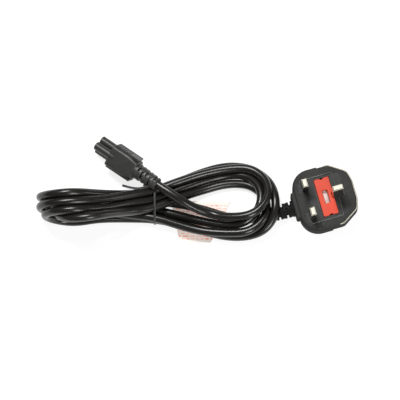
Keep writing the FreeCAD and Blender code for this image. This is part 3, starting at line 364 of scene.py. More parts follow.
def metal(name, colour, dull, scale):
    """A plated metal in a bright and a dull colour, by the shared drawn lines."""
    made, tree = material(name)
    lines = tree.add("ShaderNodeGroup", node_tree=GROUPS["drawn_lines"])
    for label, value in (("Base", linear(colour)), ("Dull", linear(dull)), ("Line Scale", scale)):
        lines.inputs[label].default_value = value
    finish_material(tree, {"Base Color": lines.outputs["Color"], "Roughness": lines.outputs["Roughness"],
                           "Metallic": lines.outputs["Metallic"]}, lines.outputs["Height"], 0.00001)
    return made


def flex_sheath(name, colour, roughness):
    """The flex's sheath: glossy, with soft lengthwise lobes where the cores press through it."""
    made, tree = material(name)
    around = tree.add("ShaderNodeSeparateXYZ", {0: tree.add("ShaderNodeUVMap").outputs[0]})
    turn = tree.math("ADD", tree.math("MULTIPLY", around.outputs["X"], 2 * math.pi * SHEATH_LOBES),
                     tree.math("MULTIPLY", around.outputs["Y"], 2 * math.pi * SHEATH_TWIST))
    lobes = tree.math("SINE", turn)
    skin = tree.add("ShaderNodeGroup", node_tree=GROUPS["moulded_skin"])
    base = linear(colour)
    skin.inputs["Base"].default_value = base
    skin.inputs["Rubbed"].default_value = (*(1.5 * c for c in base[:3]), 1.0)
    worn = tree.noise(tree.add("ShaderNodeTexCoord").outputs["Object"], 16.0)
    finish_material(tree, {"Base Color": skin.outputs["Color"],
                           "Roughness": tree.spread(worn, 0.3, 0.7, roughness - 0.02, roughness + 0.05)},
                    lobes, 0.0001)
    return made


def striped_core(name, first, second):
    """Earth insulation: two colours in bands that run along the core."""
    made, tree = material(name)
    place = tree.add("ShaderNodeTexCoord").outputs["Object"]
    bands = tree.add("ShaderNodeTexWave", {"Vector": place, "Scale": 110.0, "Distortion": 0.4,
                                           "Detail": 1.0}, bands_direction="Y").outputs["Fac"]
    grain = tree.noise(place, 3000.0)
    colour = tree.mix(tree.spread(bands, 0.45, 0.55), linear(first), linear(second))
    finish_material(tree, {"Base Color": colour, "Roughness": tree.spread(grain, 0.3, 0.7, 0.35, 0.5)},
                    grain, 0.00002)
    return made


def glazed_tube(name, colour, print_colour):
    """The fuse's white ceramic tube with rows of short plain ticks round its middle."""
    made, tree = material(name)
    place = tree.add("ShaderNodeTexCoord").outputs["Object"]
    across = tree.add("ShaderNodeSeparateXYZ", {0: place}).outputs["Y"]
    turned = tree.add("ShaderNodeMapping", {"Vector": place, "Rotation": (0.0, 0.0, math.radians(90.0))})
    bricks = tree.add("ShaderNodeTexBrick", {
        "Vector": turned.outputs[0], "Scale": 1.0, "Brick Width": 0.0021, "Row Height": 0.0016,
        "Mortar Size": 0.0005, "Color1": (0, 0, 0, 1), "Color2": (1, 1, 1, 1), "Mortar": (0, 0, 0, 1)},
        offset=0.4)
    ticks = tree.add("ShaderNodeRGBToBW", {0: bricks.outputs["Color"]}).outputs[0]
    ticks = tree.math("MULTIPLY", ticks, tree.within(across, 0.0, 0.0042))
    speckle = tree.noise(place, 1500.0, 3.0)
    mask = tree.math("MULTIPLY", ticks, tree.spread(speckle, 0.3, 0.6, 0.2, 0.7))
    colour = tree.mix(mask, linear(colour), linear(print_colour))
    finish_material(tree, {"Base Color": colour, "Roughness": tree.spread(speckle, 0.3, 0.7, 0.22, 0.4),
                           "Coat Weight": 0.3}, speckle, 0.000008)
    return made


def tag_paper(name, colour, print_colour):
    """Coated paper with plain rows of faint bars where a tag has its print, and a faint glow of painted
    light.
    """
    made, tree = material(name)
    flat = tree.add("ShaderNodeUVMap", uv_map="tag").outputs[0]
    bricks = tree.add("ShaderNodeTexBrick", {
        "Vector": flat, "Scale": 1.0, "Brick Width": 3.6, "Row Height": 2.1, "Mortar Size": 0.5,
        "Mortar Smooth": 0.1, "Bias": -0.1, "Color1": (0.3, 0.3, 0.3, 1), "Color2": (1, 1, 1, 1),
        "Mortar": (0, 0, 0, 1)}, offset=0.37, squash=1.4)
    mask = tree.add("ShaderNodeRGBToBW", {0: bricks.outputs["Color"]}).outputs[0]
    where = tree.add("ShaderNodeSeparateXYZ", {0: flat})
    for axis, middle, reach in zip("XY", TAG_PRINT["middle"], TAG_PRINT["reach"]):
        mask = tree.math("MULTIPLY", mask, tree.within(where.outputs[axis], middle, reach))
    worn = tree.noise(flat, 1.7, 5.0, 0.7)
    mask = tree.math("MULTIPLY", mask, tree.spread(worn, 0.3, 0.6, 0.5, 0.95))
    stretched = tree.add("ShaderNodeMapping", {"Vector": flat, "Scale": (1.0, 0.25, 1.0)}).outputs[0]
    fibres = tree.noise(stretched, 14.0, 4.0, 0.6)
    bright = linear(colour)
    paper = tree.mix(tree.spread(fibres, 0.3, 0.7), bright, (*(0.93 * c for c in bright[:3]), 1.0))
    shown = tree.mix(mask, paper, linear(print_colour))
    # The paper glows in its own colour: painted light, not a lamp
    finish_material(tree, {"Base Color": shown, "Roughness": tree.spread(fibres, 0.3, 0.7, 0.5, 0.65),
                           "Emission Color": shown, "Emission Strength": TAG_PAINTED_LIGHT}, fibres, 0.00003)
    return made


def paint(made, *nodes):
    """Gives carried-over solids their material."""
    for name in nodes:
        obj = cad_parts[name]
        obj.data.materials.clear()
        obj.data.materials.append(made)


# The sizes and finishes that a user would change
def colour_property(name, description, default):
    return FloatVectorProperty(name=name, description=description, default=default, subtype="COLOR",
                               min=0.0, max=1.0)


def length_property(name, description, default):
    return FloatProperty(name=name, description=description, default=default, subtype="DISTANCE",
                         unit="LENGTH", min=0.0)


def factor_property(name, description, default):
    return FloatProperty(name=name, description=description, default=default, subtype="FACTOR",
                         min=0.0, max=1.0)


def power_property(name, description, default):
    return FloatProperty(name=name, description=description, default=default, unit="POWER", min=0.0)


class PlugSettings(bpy.types.PropertyGroup):
    housing: colour_property("Housing", "Colour of the moulded housing", (0.12, 0.121, 0.116))
    relief: colour_property("Strain relief", "Colour of the plug's strain relief", (0.045, 0.045, 0.04))
    bridge: colour_property("Bridge", "Colour of the rigid pin bridge", (0.115, 0.117, 0.114))
    sleeve: colour_property("Sleeves", "Colour of the pins' insulating sleeves", (0.12, 0.11, 0.11))
    pin: colour_property("Pins", "Colour of the plated pins", (0.92, 0.9, 0.83))
    lid: colour_property("Fuse carrier", "Colour of the fuse carrier", (0.84, 0.25, 0.125))
    roughness: factor_property("Roughness", "Roughness of the housing", 0.64)


class CordSettings(bpy.types.PropertyGroup):
    diameter: length_property("Diameter", "Diameter of the flex", 0.0065)
    length: length_property("Length", "Real length of the flex between its two reliefs", 1.665)
    sheath: colour_property("Sheath", "Colour of the flex's sheath", (0.105, 0.1, 0.09))
    roughness: factor_property("Roughness", "Roughness of the sheath", 0.25)


class ConnectorSettings(bpy.types.PropertyGroup):
    housing: colour_property("Housing", "Colour of the connector's housing", (0.215, 0.215, 0.21))
    nose: colour_property("Nose", "Colour of the connector's nose", (0.19, 0.19, 0.18))
    roughness: factor_property("Roughness", "Roughness of the housing", 0.4)


class TieSettings(bpy.types.PropertyGroup):
    width: length_property("Width", "Width of the twist tie", 0.0017)
    thickness: length_property("Thickness", "Thickness of the twist tie", 0.0007)
    colour: colour_property("Colour", "Colour of the tie's plastic", (0.2, 0.2, 0.2))


class TagSettings(bpy.types.PropertyGroup):
    paper: colour_property("Paper", "Colour of the paper tag", (0.98, 0.945, 0.91))
    print: colour_property("Print", "Colour of the plain printed bars", (0.95, 0.43, 0.28))
    thickness: length_property("Thickness", "Thickness of the paper", 0.0003)
    steps: IntProperty(name="Steps", description="Faces along the tag's long side", default=48, min=8)


class StageSettings(bpy.types.PropertyGroup):
    floor: colour_property("Floor", "Colour of the floor", (0.66, 0.66, 0.66))
    key: power_property("Key", "Power of the main soft light", 10.5)
    fill: power_property("Fill", "Power of the fill light", 5.0)
    side: power_property("Side", "Power of the low light on the earth side", 1.5)
    room: factor_property("Room", "Brightness of the room round the lead", 0.15)
    lens: FloatProperty(name="Lens", description="Focal length of the camera", default=600.0, min=20.0)


# Mouldings
def finished(maker, name, made):
    """A piece from a bmesh, smooth but for its sharp corners, without normals from before its cuts."""
    mesh = bpy.data.meshes.new(name)
    maker.to_mesh(mesh)
    maker.free()
    stale = mesh.attributes.get("custom_normal")
    if stale:
        mesh.attributes.remove(stale)
    mesh.set_sharp_from_angle(angle=math.radians(35.0))
    mesh.materials.clear()
    mesh.materials.append(made)
    return link(bpy.data.objects.new(name, mesh))


def merged_solid(node):
    """A copy of a solid's loose triangles with their corners merged."""
    maker = bmesh.new()
    maker.from_mesh(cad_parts[node].data)
    bmesh.ops.remove_doubles(maker, verts=maker.verts, dist=MERGE_DISTANCE)
    return maker


def cut_moulding(node, name, at, away, made):
    """A copy of a moulding's solid, cut square where its strain relief starts."""
    maker = merged_solid(node)
    everything = maker.verts[:] + maker.edges[:] + maker.faces[:]
    bmesh.ops.bisect_plane(maker, geom=everything, plane_co=at, plane_no=away, clear_outer=True)
    rim = [edge for edge in maker.edges if edge.is_boundary
           and all(abs((vertex.co - at).dot(away)) < MERGE_DISTANCE for vertex in edge.verts)]
    bmesh.ops.triangle_fill(maker, use_beauty=True, edges=rim, normal=away)
    bmesh.ops.recalc_face_normals(maker, faces=maker.faces)
    moulding = finished(maker, name, made)
    even = moulding.modifiers.new("even_normals", "WEIGHTED_NORMAL")
    even.keep_sharp = True
    even.weight = 100
    return moulding


def turned_block(maker, outline, start, sweep, steps):
    """Adds a closed block, turned about X from an outline of places along it and radii."""
    closed = sweep > 2 * math.pi - 0.001
    rings = []
    for step in range(steps if closed else steps + 1):
        turn = start + sweep * step / steps
        rings.append([maker.verts.new((along, radius * math.cos(turn), radius * math.sin(turn)))
                      for along, radius in outline])
    count = len(outline)
    for first, second in zip(rings, rings[1:] + (rings[:1] if closed else [])):
        for i in range(count):
            j = (i + 1) % count
            maker.faces.new((first[i], first[j], second[j], second[i]))
    if not closed:
        maker.faces.new(rings[0])
        maker.faces.new(rings[-1])


def ring_outline(start, end, inner, outer, far, corner):
    """The section of a ring with chamfered corners; far is its outer radius at the end."""
    return [(start, inner), (start, outer - corner), (start + corner, outer), (end - corner, far),
            (end, far - corner), (end, inner)]


def geometry_tree(name, inputs):
    """A Geometry Nodes group's tree helper and its input end, with its sockets."""
    tree = bpy.data.node_groups.new(name, "GeometryNodeTree")
    tree.is_modifier = True
    tree.interface.new_socket("Geometry", in_out="INPUT", socket_type="NodeSocketGeometry")
    for label, kind, default, subtype in inputs:
        socket = tree.interface.new_socket(label, in_out="INPUT", socket_type=kind)
        socket.subtype = subtype
        socket.default_value = default
    tree.interface.new_socket("Geometry", in_out="OUTPUT", socket_type="NodeSocketGeometry")
    nodes = Tree(tree)
    return nodes, nodes.add("NodeGroupInput")


def closed_tree(nodes, last, made):
    """Ends a Geometry Nodes group in real geometry in one material."""
    real = nodes.add("GeometryNodeRealizeInstances", {"Geometry": last.outputs[0]})
    painted = nodes.add("GeometryNodeSetMaterial", {"Geometry": real.outputs[0], "Material": made})
    nodes.feed(nodes.add("NodeGroupOutput").inputs[0], painted.outputs[0])
    return nodes.tree


def set_inputs(modifier, values):
    """Sets a Geometry Nodes modifier's inputs by their sockets' identifiers."""
    found = {item.name: item.identifier for item in modifier.node_group.interface.items_tree
             if item.item_type == "SOCKET" and item.in_out == "INPUT"}
    for label, value in values.items():
        modifier[found[label]] = value


def evaluated_mesh(obj):
    """A new mesh of what an object's curve and modifiers make."""
    bpy.context.view_layer.update()
    return bpy.data.meshes.new_from_object(obj.evaluated_get(bpy.context.evaluated_depsgraph_get()))


def baked(obj, name):
    """A plain mesh object of what an object's modifiers make, in place of it."""
    mesh = evaluated_mesh(obj)
    spare = obj.data
    bpy.data.objects.remove(obj)
    if isinstance(spare, bpy.types.Mesh):
        bpy.data.meshes.remove(spare)
    else:
        bpy.data.curves.remove(spare)
    mesh.name = name
    made = link(bpy.data.objects.new(name, mesh))
    for polygon in mesh.polygons:
        polygon.use_smooth = True
    return made


def rings_tree(made):
    """Geometry Nodes that set a ring and its web in a row, each one smaller and turned half round."""
    nodes, given = geometry_tree("relief_rings", [
        ("Count", "NodeSocketInt", 6, "NONE"), ("Pitch", "NodeSocketFloat", 3.0, "NONE"),
        ("Taper", "NodeSocketFloat", 0.03, "NONE"), ("Wide", "NodeSocketFloat", 1.0, "NONE")])
    step = nodes.add("ShaderNodeCombineXYZ", {"X": given.outputs["Pitch"]})
    row = nodes.add("GeometryNodeMeshLine", {"Count": given.outputs["Count"], "Offset": step.outputs[0]})
    index = nodes.add("GeometryNodeInputIndex").outputs[0]
    half_turn = nodes.add("ShaderNodeCombineXYZ", {"X": nodes.math("MULTIPLY", index, math.pi)})
    shrink = nodes.math("SUBTRACT", 1.0, nodes.math("MULTIPLY", index, given.outputs["Taper"]))
    sizes = nodes.add("ShaderNodeCombineXYZ", {"X": 1.0, "Z": shrink,
                                               "Y": nodes.math("MULTIPLY", shrink, given.outputs["Wide"])})
    placed = nodes.add("GeometryNodeInstanceOnPoints", {
        "Points": row.outputs[0], "Instance": given.outputs["Geometry"], "Rotation": half_turn.outputs[0],
        "Scale": sizes.outputs[0]})
    return closed_tree(nodes, placed, made)


def strain_relief(name, form, at, away, aside, made):
    """A slotted strain relief: rings joined by webs on alternate sides, over a core, with an end collar."""
    count = form["rings"]
    pitch = 0.92 * form["length"] / count
    ring = 0.5 * pitch
    root = form["root"]
    near = root * (1.0 - 0.5 * form["taper"])
    whole = 2 * math.pi
    maker = bmesh.new()
    turned_block(maker, ring_outline(0.0, ring, RELIEF_BORE, root, near, 0.25), 0.0, whole, RELIEF_STEPS)
    web = ring_outline(ring - 0.3, pitch + 0.3, RELIEF_BORE, 0.97 * near, 0.93 * near, 0.1)
    turned_block(maker, web, -0.5 * WEB_SWEEP, WEB_SWEEP, 24)
    base = finished(maker, name + "_ring", made)
    modifier = base.modifiers.new("rings", "NODES")
    modifier.node_group = rings_tree(made)
    set_inputs(modifier, {"Count": count, "Pitch": pitch, "Taper": form["taper"], "Wide": form["wide"]})
    row = baked(base, name + "_row")
    maker = bmesh.new()
    maker.from_mesh(row.data)
    tip = root * (1.0 - count * form["taper"])
    collar = ring_outline(count * pitch, form["length"], RELIEF_BORE, tip, 0.97 * tip, 0.3)
    turned_block(maker, collar, 0.0, whole, RELIEF_STEPS)
    start, end = -0.5, form["length"] - 0.2
    core = [(start, RELIEF_BORE), (start, RELIEF_CORE), (end, RELIEF_CORE), (end, RELIEF_BORE)]
    turned_block(maker, core, 0.0, whole, RELIEF_STEPS)
    bpy.data.meshes.remove(row.data)
    bmesh.ops.recalc_face_normals(maker, faces=maker.faces)
    across = away.cross(aside)
    turn = Matrix((away, aside, across)).transposed().to_4x4()
    bmesh.ops.transform(maker, verts=maker.verts,
                        matrix=Matrix.Translation(at) @ turn @ Matrix.Diagonal((MM, MM, MM, 1.0)))
    return finished(maker, name, made)


def smooth_line(curve, points):
    """Adds an open NURBS spline along points in the shared frame."""
    spline = curve.splines.new("NURBS")
    spline.points.add(len(points) - 1)
    for held, point in zip(spline.points, points):
        held.co = (*point, 1.0)
    spline.order_u = 3
    spline.use_endpoint_u = True


def bead(name, lines, radius, made):
    """Thin round ridges along lines of points."""
    curve = bpy.data.curves.new(name, "CURVE")
    curve.dimensions = "3D"
    for line in lines:
        smooth_line(curve, line)
    curve.resolution_u = 6
    curve.bevel_depth = radius
    curve.bevel_resolution = 3
    curve.use_fill_caps = True
    curve.materials.append(made)
    return baked(link(bpy.data.objects.new(name, curve)), name)


def rim_path():
    """The plug's outline along the round of its face edge, on the earth side of the grip step."""
    maker = merged_solid("plug_body")
    everything = maker.verts[:] + maker.edges[:] + maker.faces[:]
    bmesh.ops.bisect_plane(maker, geom=everything, plane_co=(0, 0, RIM_HEIGHT * MM), plane_no=(0, 0, 1),
                           clear_outer=True, clear_inner=True)
    loop = [max(maker.verts, key=lambda vertex: vertex.co.x)]
    edge = loop[0].link_edges[0]
    while True:
        vertex = edge.other_vert(loop[-1])
        if vertex is loop[0]:
            break
        loop.append(vertex)
        edge = [other for other in vertex.link_edges if other is not edge][0]
    places = [vertex.co.copy() for vertex in loop]
    maker.free()
    first = [index for index, place in enumerate(places) if place.x < RIM_START * MM][0]
    return [place for place in places[first:] + places[:first] if place.x > RIM_START * MM]


# Pieces
class POWERLEAD_OT_cord(bpy.types.Operator):
    """Lays the flex along its route, in one smooth spline, through the tied hank"""

    bl_idname = "power_lead.cord"
    bl_label = "Lay the flex"

    def execute(self, context):
        settings = context.scene.lead_cord
        points = list(LEAD_OUT)
        for turn in TURNS:
            points.extend(turn)
        points.extend(LEAD_IN)
        curve = bpy.data.curves.new("flex", "CURVE")
        curve.dimensions = "3D"
        smooth_line(curve, [lay(point) for point in points])
        curve.resolution_u = 7
        flex = link(bpy.data.objects.new("flex", curve))
        curve.bevel_depth = 0.5 * settings.diameter
        curve.bevel_resolution = 6
        curve.use_fill_caps = True
        curve.materials.append(flex_sheath("flex_sheath", settings.sheath, settings.roughness))
        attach(flex, BODY)
        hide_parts("cord_plug_lead", "cord_connector_lead", "cord_hank")
        return {"FINISHED"}


class POWERLEAD_OT_plug(bpy.types.Operator):
    """Finishes the plug's housing, pin bridge, sleeves and pins"""

    bl_idname = "power_lead.plug"
    bl_label = "Finish the plug"

    def execute(self, context):
        settings = context.scene.lead_plug
        colour = plastic("housing_plastic", settings.housing, settings.roughness, side=0.35)
        at = Vector((RELIEF_START * MM, *EXIT[1:]))
        away = Vector((-1, 0, 0))
        housing = cut_moulding("plug_body", "plug_housing", at, away, colour)
        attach(housing, BODY)
        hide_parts("plug_body")
        relief = strain_relief("plug_relief", PLUG_RELIEF, at, away, Vector((0, -1, 0)),
                               plastic("relief_plastic", settings.relief, 0.6, dust=0.03, shine=0.2))
        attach(relief, BODY)
        # The ridges are paler than the housing: a painted highlight along each ridge
        ridges = bead("face_ridges", [[(x * MM, y * MM, RIDGE_HEIGHT * MM) for x, y in line]
                                      for line in FACE_RIDGES], RIDGE_RADIUS * MM,
                      plastic("ridge_plastic", (0.33, 0.33, 0.325), 0.32, dust=0.3))
        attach(ridges, BODY)
        # The rim's pale bead is a painted highlight along the earth side of the face edge
        rim = bead("rim_line", [rim_path()], RIM_RADIUS * MM,
                   plastic("rubbed_rim", (0.78, 0.76, 0.69), 0.35, dust=0.0, rubbed=0.6))
        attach(rim, BODY)
        paint(plastic("bridge_plastic", settings.bridge, 0.5, grain=3400.0, side=0.3), "pin_bridge")
        paint(plastic("sleeve_plastic", settings.sleeve, 0.34), "line_sleeve", "neutral_sleeve")
        paint(metal("plated_pin", settings.pin, (0.86, 0.83, 0.76), 3200.0),
              "line_pin", "neutral_pin", "earth_pin")
        return {"FINISHED"}


class POWERLEAD_OT_fuse(bpy.types.Operator):
    """Finishes the red fuse carrier and the fuse that it holds"""

    bl_idname = "power_lead.fuse"
    bl_label = "Finish the fuse and its carrier"

    def execute(self, context):
        settings = context.scene.lead_plug
        paint(plastic("carrier_plastic", settings.lid, 0.5, grain=2200.0, depth=0.00002, dust=0.05,
                      rubbed=1.12), "fuse_carrier")
        # The ceramic is darkened and tinted pink: painted shade in the carrier's window, reddened by the
        # carrier
        paint(glazed_tube("fuse_ceramic", (0.93, 0.87, 0.84), (0.86, 0.42, 0.4)), "fuse_tube")
        paint(metal("fuse_cap_metal", (0.88, 0.87, 0.85), (0.74, 0.72, 0.7), 1800.0),
              "fuse_cap_line", "fuse_cap_cord")
        paint(metal("fuse_wire_metal", (0.85, 0.83, 0.8), (0.7, 0.68, 0.65), 5200.0), "fuse_element")
        return {"FINISHED"}


class POWERLEAD_OT_wiring(bpy.types.Operator):
    """Finishes the cores and contact clips inside the plug"""

    bl_idname = "power_lead.wiring"
    bl_label = "Finish the wiring"

    def execute(self, context):
        brown = plastic("core_brown", (0.42, 0.25, 0.15), 0.4)
        blue = plastic("core_blue", (0.16, 0.36, 0.66), 0.4)
        striped = striped_core("core_striped", (0.22, 0.52, 0.2), (0.92, 0.83, 0.2))
        paint(brown, "line_core", "connector_line_core")
        paint(blue, "neutral_core", "connector_neutral_core")
        paint(striped, "earth_core", "connector_earth_core")
        paint(metal("clip_metal", (0.86, 0.75, 0.5), (0.72, 0.6, 0.38), 2400.0),
              "fuse_clip_pin", "fuse_clip_cord")
        return {"FINISHED"}


class POWERLEAD_OT_connector(bpy.types.Operator):
    """Finishes the three pole connector on the flex's far end"""

    bl_idname = "power_lead.connector"
    bl_label = "Finish the connector"

    def execute(self, context):
        settings = context.scene.lead_connector
        colour = plastic("connector_plastic", settings.housing, settings.roughness, grain=2300.0)
        level = math.cos(BOOT_PITCH)
        nose = lay((math.cos(BOOT_TURN) * level, math.sin(BOOT_TURN) * level, -math.sin(BOOT_PITCH)))
        nose.normalize()
        at = lay(BOOT_END) + nose * (BOOT_RELIEF["length"] - 0.05) * MM
        housing = cut_moulding("connector_body", "connector_housing", at, -nose, colour)
        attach(housing, BODY)
        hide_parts("connector_body")
        relief = strain_relief("connector_relief", BOOT_RELIEF, at, -nose, -nose.cross(Vector((0, 0, 1))),
                               colour)
        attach(relief, BODY)
        paint(plastic("nose_plastic", settings.nose, 0.36, grain=2900.0), "connector_nose")
        paint(metal("contact_metal", (0.87, 0.8, 0.6), (0.75, 0.66, 0.45), 2600.0),
              "contact_line", "contact_neutral", "contact_earth")
        return {"FINISHED"}


def route_points():
    """The flex's centreline, read from its spline with no bevel."""
    flex = bpy.data.objects["flex"]
    bare = link(bpy.data.objects.new("route", flex.data.copy()))
    bare.data.bevel_depth = 0.0
    mesh = evaluated_mesh(bare)
    points = [vertex.co.copy() for vertex in mesh.vertices]
    spare = bare.data
    bpy.data.objects.remove(bare)
    bpy.data.curves.remove(spare)
    bpy.data.meshes.remove(mesh)
    return points


def band_loop(radius, clearance):
    """The closed loop of a band drawn tight round the strands that cross the tie's plane."""
    places = [unlay(point) for point in route_points()]
    crossings = []
    for first, second in zip(places, places[1:]):
        if (first[0] - TIE_PLACE) * (second[0] - TIE_PLACE) < 0:
            share = (TIE_PLACE - first[0]) / (second[0] - first[0])
            crossings.append(tuple(first[i] + share * (second[i] - first[i]) for i in (1, 2)))
    reach = (radius + clearance) / MM
    rim = []
    for across, up in crossings:
        for step in range(TIE_STEPS):
            turn = 2 * math.pi * step / TIE_STEPS
            rim.append(Vector((across + reach * math.cos(turn),
                               max(TIE_LIFT, up + reach * math.sin(turn)))))
    return [rim[index] for index in convex_hull_2d(rim)]


def ribbon_tree(made):
    """Geometry Nodes that draw a flat ribbon with a wire in it along a curve."""
    nodes, given = geometry_tree("ribbon", [
        (label, "NodeSocketFloat", default, "DISTANCE")
        for label, default in (("Width", 0.0015), ("Thickness", 0.0006), ("Wire", 0.0003))])
    flat = nodes.add("GeometryNodeCurvePrimitiveQuadrilateral", {"Width": given.outputs["Width"],
                                                                 "Height": given.outputs["Thickness"]})
    rounded = nodes.add("GeometryNodeFilletCurve", {"Curve": flat.outputs[0], "Radius": 0.0002})
    core = nodes.add("GeometryNodeCurvePrimitiveCircle", {"Resolution": 10, "Radius": given.outputs["Wire"]})
    joined = nodes.add("GeometryNodeJoinGeometry")
    for profile in (rounded, core):
        drawn = nodes.add("GeometryNodeCurveToMesh", {"Curve": given.outputs["Geometry"],
                                                      "Profile Curve": profile.outputs[0], "Fill Caps": True})
        nodes.feed(joined.inputs[0], drawn.outputs[0])
    return closed_tree(nodes, joined, made)


class POWERLEAD_OT_tie(bpy.types.Operator):
    """Ties the hank with a plastic twist tie, drawn tight round its strands"""

    bl_idname = "power_lead.tie"
    bl_label = "Tie the hank"

    def execute(self, context):
        settings = context.scene.lead_tie
        radius = 0.5 * context.scene.lead_cord.diameter
        loop = [(TIE_PLACE, point.x, point.y) for point in band_loop(radius, 0.5 * settings.thickness)]
        curve = bpy.data.curves.new("tie_path", "CURVE")
        curve.dimensions = "3D"
        band = curve.splines.new("POLY")
        band.points.add(len(loop) - 1)
        for held, point in zip(band.points, loop):
            held.co = (*lay(point), 1.0)
        band.use_cyclic_u = True
        for tail in TIE_TAILS:
            smooth_line(curve, [lay(point) for point in tail])
        curve.resolution_u = 8
        path = link(bpy.data.objects.new("tie_path", curve))
        colour = plastic("tie_plastic", settings.colour, 0.38, grain=2000.0, dust=0.2)
        modifier = path.modifiers.new("ribbon", "NODES")
        modifier.node_group = ribbon_tree(colour)
        set_inputs(modifier, {"Width": settings.width, "Thickness": settings.thickness,
                              "Wire": 0.3 * settings.width})
        tie = baked(path, "twist_tie_band")
        tie.data.materials.clear()
        tie.data.materials.append(colour)
        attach(tie, BODY)
        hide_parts("twist_tie")
        return {"FINISHED"}


class POWERLEAD_OT_tag(bpy.types.Operator):
    """Lays the paper tag under the hank"""

    bl_idname = "power_lead.tag"
    bl_label = "Lay the paper tag"

    def height(self, along, across):
        """How far the paper stands off the floor at a place on the tag, in millimetres."""
        curl = max(0.0, 1.0 - across / TAG_CURL["reach"]) ** 2 * (0.4 + 0.6 * along / TAG_CURL["width"])
        bulge = (max(0.0, across - TAG_BULGE["start"]) / TAG_BULGE["reach"]) ** 1.6
        wave = max(0.0, math.sin(math.pi * (along - TAG_BULGE["left"]) / TAG_BULGE["half_wave"]))
        return TAG_FLOOR_GAP + TAG_CURL["height"] * curl + TAG_BULGE["height"] * bulge * wave

    def execute(self, context):
        settings = context.scene.lead_tag
        short_side = TAG_FAR["across"] - TAG_NEAR["across"]
        columns = settings.steps
        rows = round(columns * short_side / (TAG_FAR["right"] - TAG_FAR["left"]))
        mesh = bpy.data.meshes.new("paper_tag_sheet")
        points, faces, flat = [], [], []
        for j in range(rows + 1):
            across = short_side * j / rows
            left, right = (TAG_NEAR[side] + (TAG_FAR[side] - TAG_NEAR[side]) * j / rows
                           for side in ("left", "right"))
            for i in range(columns + 1):
                along = left + (right - left) * i / columns - TAG_FAR["left"]
                points.append(lay((TAG_FAR["left"] + along, TAG_NEAR["across"] + across,
                                   self.height(along, across))))
                flat.append((along, across))
        for j in range(rows):
            for i in range(columns):
                corner = j * (columns + 1) + i
                faces.append((corner, corner + 1, corner + columns + 2, corner + columns + 1))
        mesh.from_pydata(points, [], faces)
        layer = mesh.uv_layers.new(name="tag")
        for loop in mesh.loops:
            layer.data[loop.index].uv = flat[loop.vertex_index]
        tag = link(bpy.data.objects.new("paper_tag_sheet", mesh))
        wall = tag.modifiers.new("paper", "SOLIDIFY")
        wall.thickness = settings.thickness
        wall.offset = -1.0
        for polygon in mesh.polygons:
            polygon.use_smooth = True
        mesh.materials.append(tag_paper("tag_paper", settings.paper, settings.print))
        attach(tag, BODY)
        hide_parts("paper_tag")
        return {"FINISHED"}


class POWERLEAD_OT_stage(bpy.types.Operator):
    """Sets the pale floor, the soft lights and the camera"""

    bl_idname = "power_lead.stage"
    bl_label = "Set the stage"

    def soft_light(self, name, place, target, size, power):
        """Hangs an area light that points at the target."""
        lamp = bpy.data.lights.new(name, "AREA")
        lamp.shape = "RECTANGLE"
        lamp.size, lamp.size_y = size
        lamp.energy = power
        obj = link(bpy.data.objects.new(name, lamp))
        obj.location = place
        obj.rotation_euler = (target - place).to_track_quat("-Z", "Y").to_euler()

    def execute(self, context):
        settings = context.scene.lead_stage
        scene = context.scene
        mesh = bpy.data.meshes.new("floor")
        maker = bmesh.new()
        bmesh.ops.create_grid(maker, x_segments=1, y_segments=1, size=40.0)
        maker.to_mesh(mesh)
        maker.free()
        floor = link(bpy.data.objects.new("floor", mesh))
        made, tree = material("floor_white")
        rays = tree.add("ShaderNodeLightPath")
        seen = rays.outputs["Is Camera Ray"]
        for kind in ("Is Glossy Ray", "Is Transmission Ray"):
            seen = tree.math("MAXIMUM", seen, rays.outputs[kind])
        shader = tree.add("ShaderNodeBsdfPrincipled", {
            "Base Color": linear(settings.floor), "Roughness": 0.9, "Specular IOR Level": 0.0,
            "Emission Color": (1, 1, 1, 1), "Emission Strength": tree.math("MULTIPLY", seen, FLOOR_GLOW)})
        tree.add("ShaderNodeOutputMaterial", {"Surface": shader.outputs[0]})
        mesh.materials.append(made)

        world = bpy.data.worlds.new("soft_room")
        scene.world = world
        world.use_nodes = True
        world.node_tree.nodes.clear()
        tree = Tree(world.node_tree)
        back = tree.add("ShaderNodeBackground", {"Color": (1, 1, 1, 1), "Strength": settings.room})
        tree.add("ShaderNodeOutputWorld", {"Surface": back.outputs[0]})

        # The picture's own directions on the floor, and the way back to the camera
        right = Vector((math.cos(LAY_TURN), -math.sin(LAY_TURN), 0.0))
        up = Vector((math.sin(LAY_TURN), math.cos(LAY_TURN), 0.0))
        target = lay(VIEW_CENTRE)
        back_way = -up * math.cos(VIEW_ANGLE) + Vector((0, 0, math.sin(VIEW_ANGLE)))
        for name, ((aside, ahead, above), size) in LIGHTS.items():
            place = target + right * aside + up * ahead + Vector((0, 0, above))
            self.soft_light(name, place, target, size, getattr(settings, name))

        lens = bpy.data.cameras.new("camera")
        lens.lens = settings.lens
        lens.sensor_width = 36.0
        lens.clip_end = 200.0
        camera = link(bpy.data.objects.new("camera", lens))
        width = PICTURE_WIDTH / PIXELS_PER_MM * MM
        distance = width * lens.lens / lens.sensor_width
        top = back_way.cross(right)
        turn = Matrix((right, top, back_way)).transposed()
        camera.matrix_world = Matrix.Translation(target + back_way * distance) @ turn.to_4x4()
        scene.camera = camera
        scene.view_settings.view_transform = "Standard"
        return {"FINISHED"}


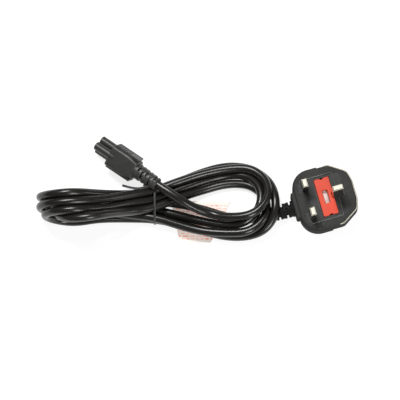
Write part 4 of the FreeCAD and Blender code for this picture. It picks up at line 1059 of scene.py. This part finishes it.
class POWERLEAD_PT_panel(bpy.types.Panel):
    """Lists the lead's pieces and their settings"""

    bl_idname = "POWERLEAD_PT_panel"
    bl_label = "Power lead"
    bl_space_type = "VIEW_3D"
    bl_region_type = "UI"
    bl_category = "Power lead"

    def draw(self, context):
        for group, names, operators in SECTIONS:
            box = self.layout.box()
            settings = getattr(context.scene, group)
            for name in names:
                box.prop(settings, name)
            for operator in operators:
                box.operator(operator)


SECTIONS = [
    ("lead_plug", ("housing", "relief", "bridge", "sleeve", "pin", "lid", "roughness"),
     ("power_lead.plug", "power_lead.fuse", "power_lead.wiring")),
    ("lead_connector", ("housing", "nose", "roughness"), ("power_lead.connector",)),
    ("lead_cord", ("diameter", "length", "sheath", "roughness"), ("power_lead.cord",)),
    ("lead_tie", ("width", "thickness", "colour"), ("power_lead.tie",)),
    ("lead_tag", ("paper", "print", "thickness", "steps"), ("power_lead.tag",)),
    ("lead_stage", ("floor", "key", "fill", "side", "room", "lens"), ("power_lead.stage",)),
]
GROUP_TYPES = {"lead_cord": CordSettings, "lead_plug": PlugSettings, "lead_connector": ConnectorSettings,
               "lead_tie": TieSettings, "lead_tag": TagSettings, "lead_stage": StageSettings}
CLASSES = (*GROUP_TYPES.values(), POWERLEAD_OT_cord, POWERLEAD_OT_plug, POWERLEAD_OT_fuse,
           POWERLEAD_OT_wiring, POWERLEAD_OT_connector, POWERLEAD_OT_tie, POWERLEAD_OT_tag,
           POWERLEAD_OT_stage, POWERLEAD_PT_panel)


def register():
    for made in CLASSES:
        bpy.utils.register_class(made)
    for name, kind in GROUP_TYPES.items():
        setattr(bpy.types.Scene, name, PointerProperty(type=kind))


def unregister():
    for name in GROUP_TYPES:
        delattr(bpy.types.Scene, name)
    for made in reversed(CLASSES):
        bpy.utils.unregister_class(made)


def main():
    register()
    GROUPS["moulded_skin"] = moulded_skin()
    GROUPS["drawn_lines"] = drawn_lines()
    for _group, _names, operators in SECTIONS:
        for operator in operators:
            family, name = operator.split(".")
            getattr(getattr(bpy.ops, family), name)()


if __name__ == "__main__":
    main()
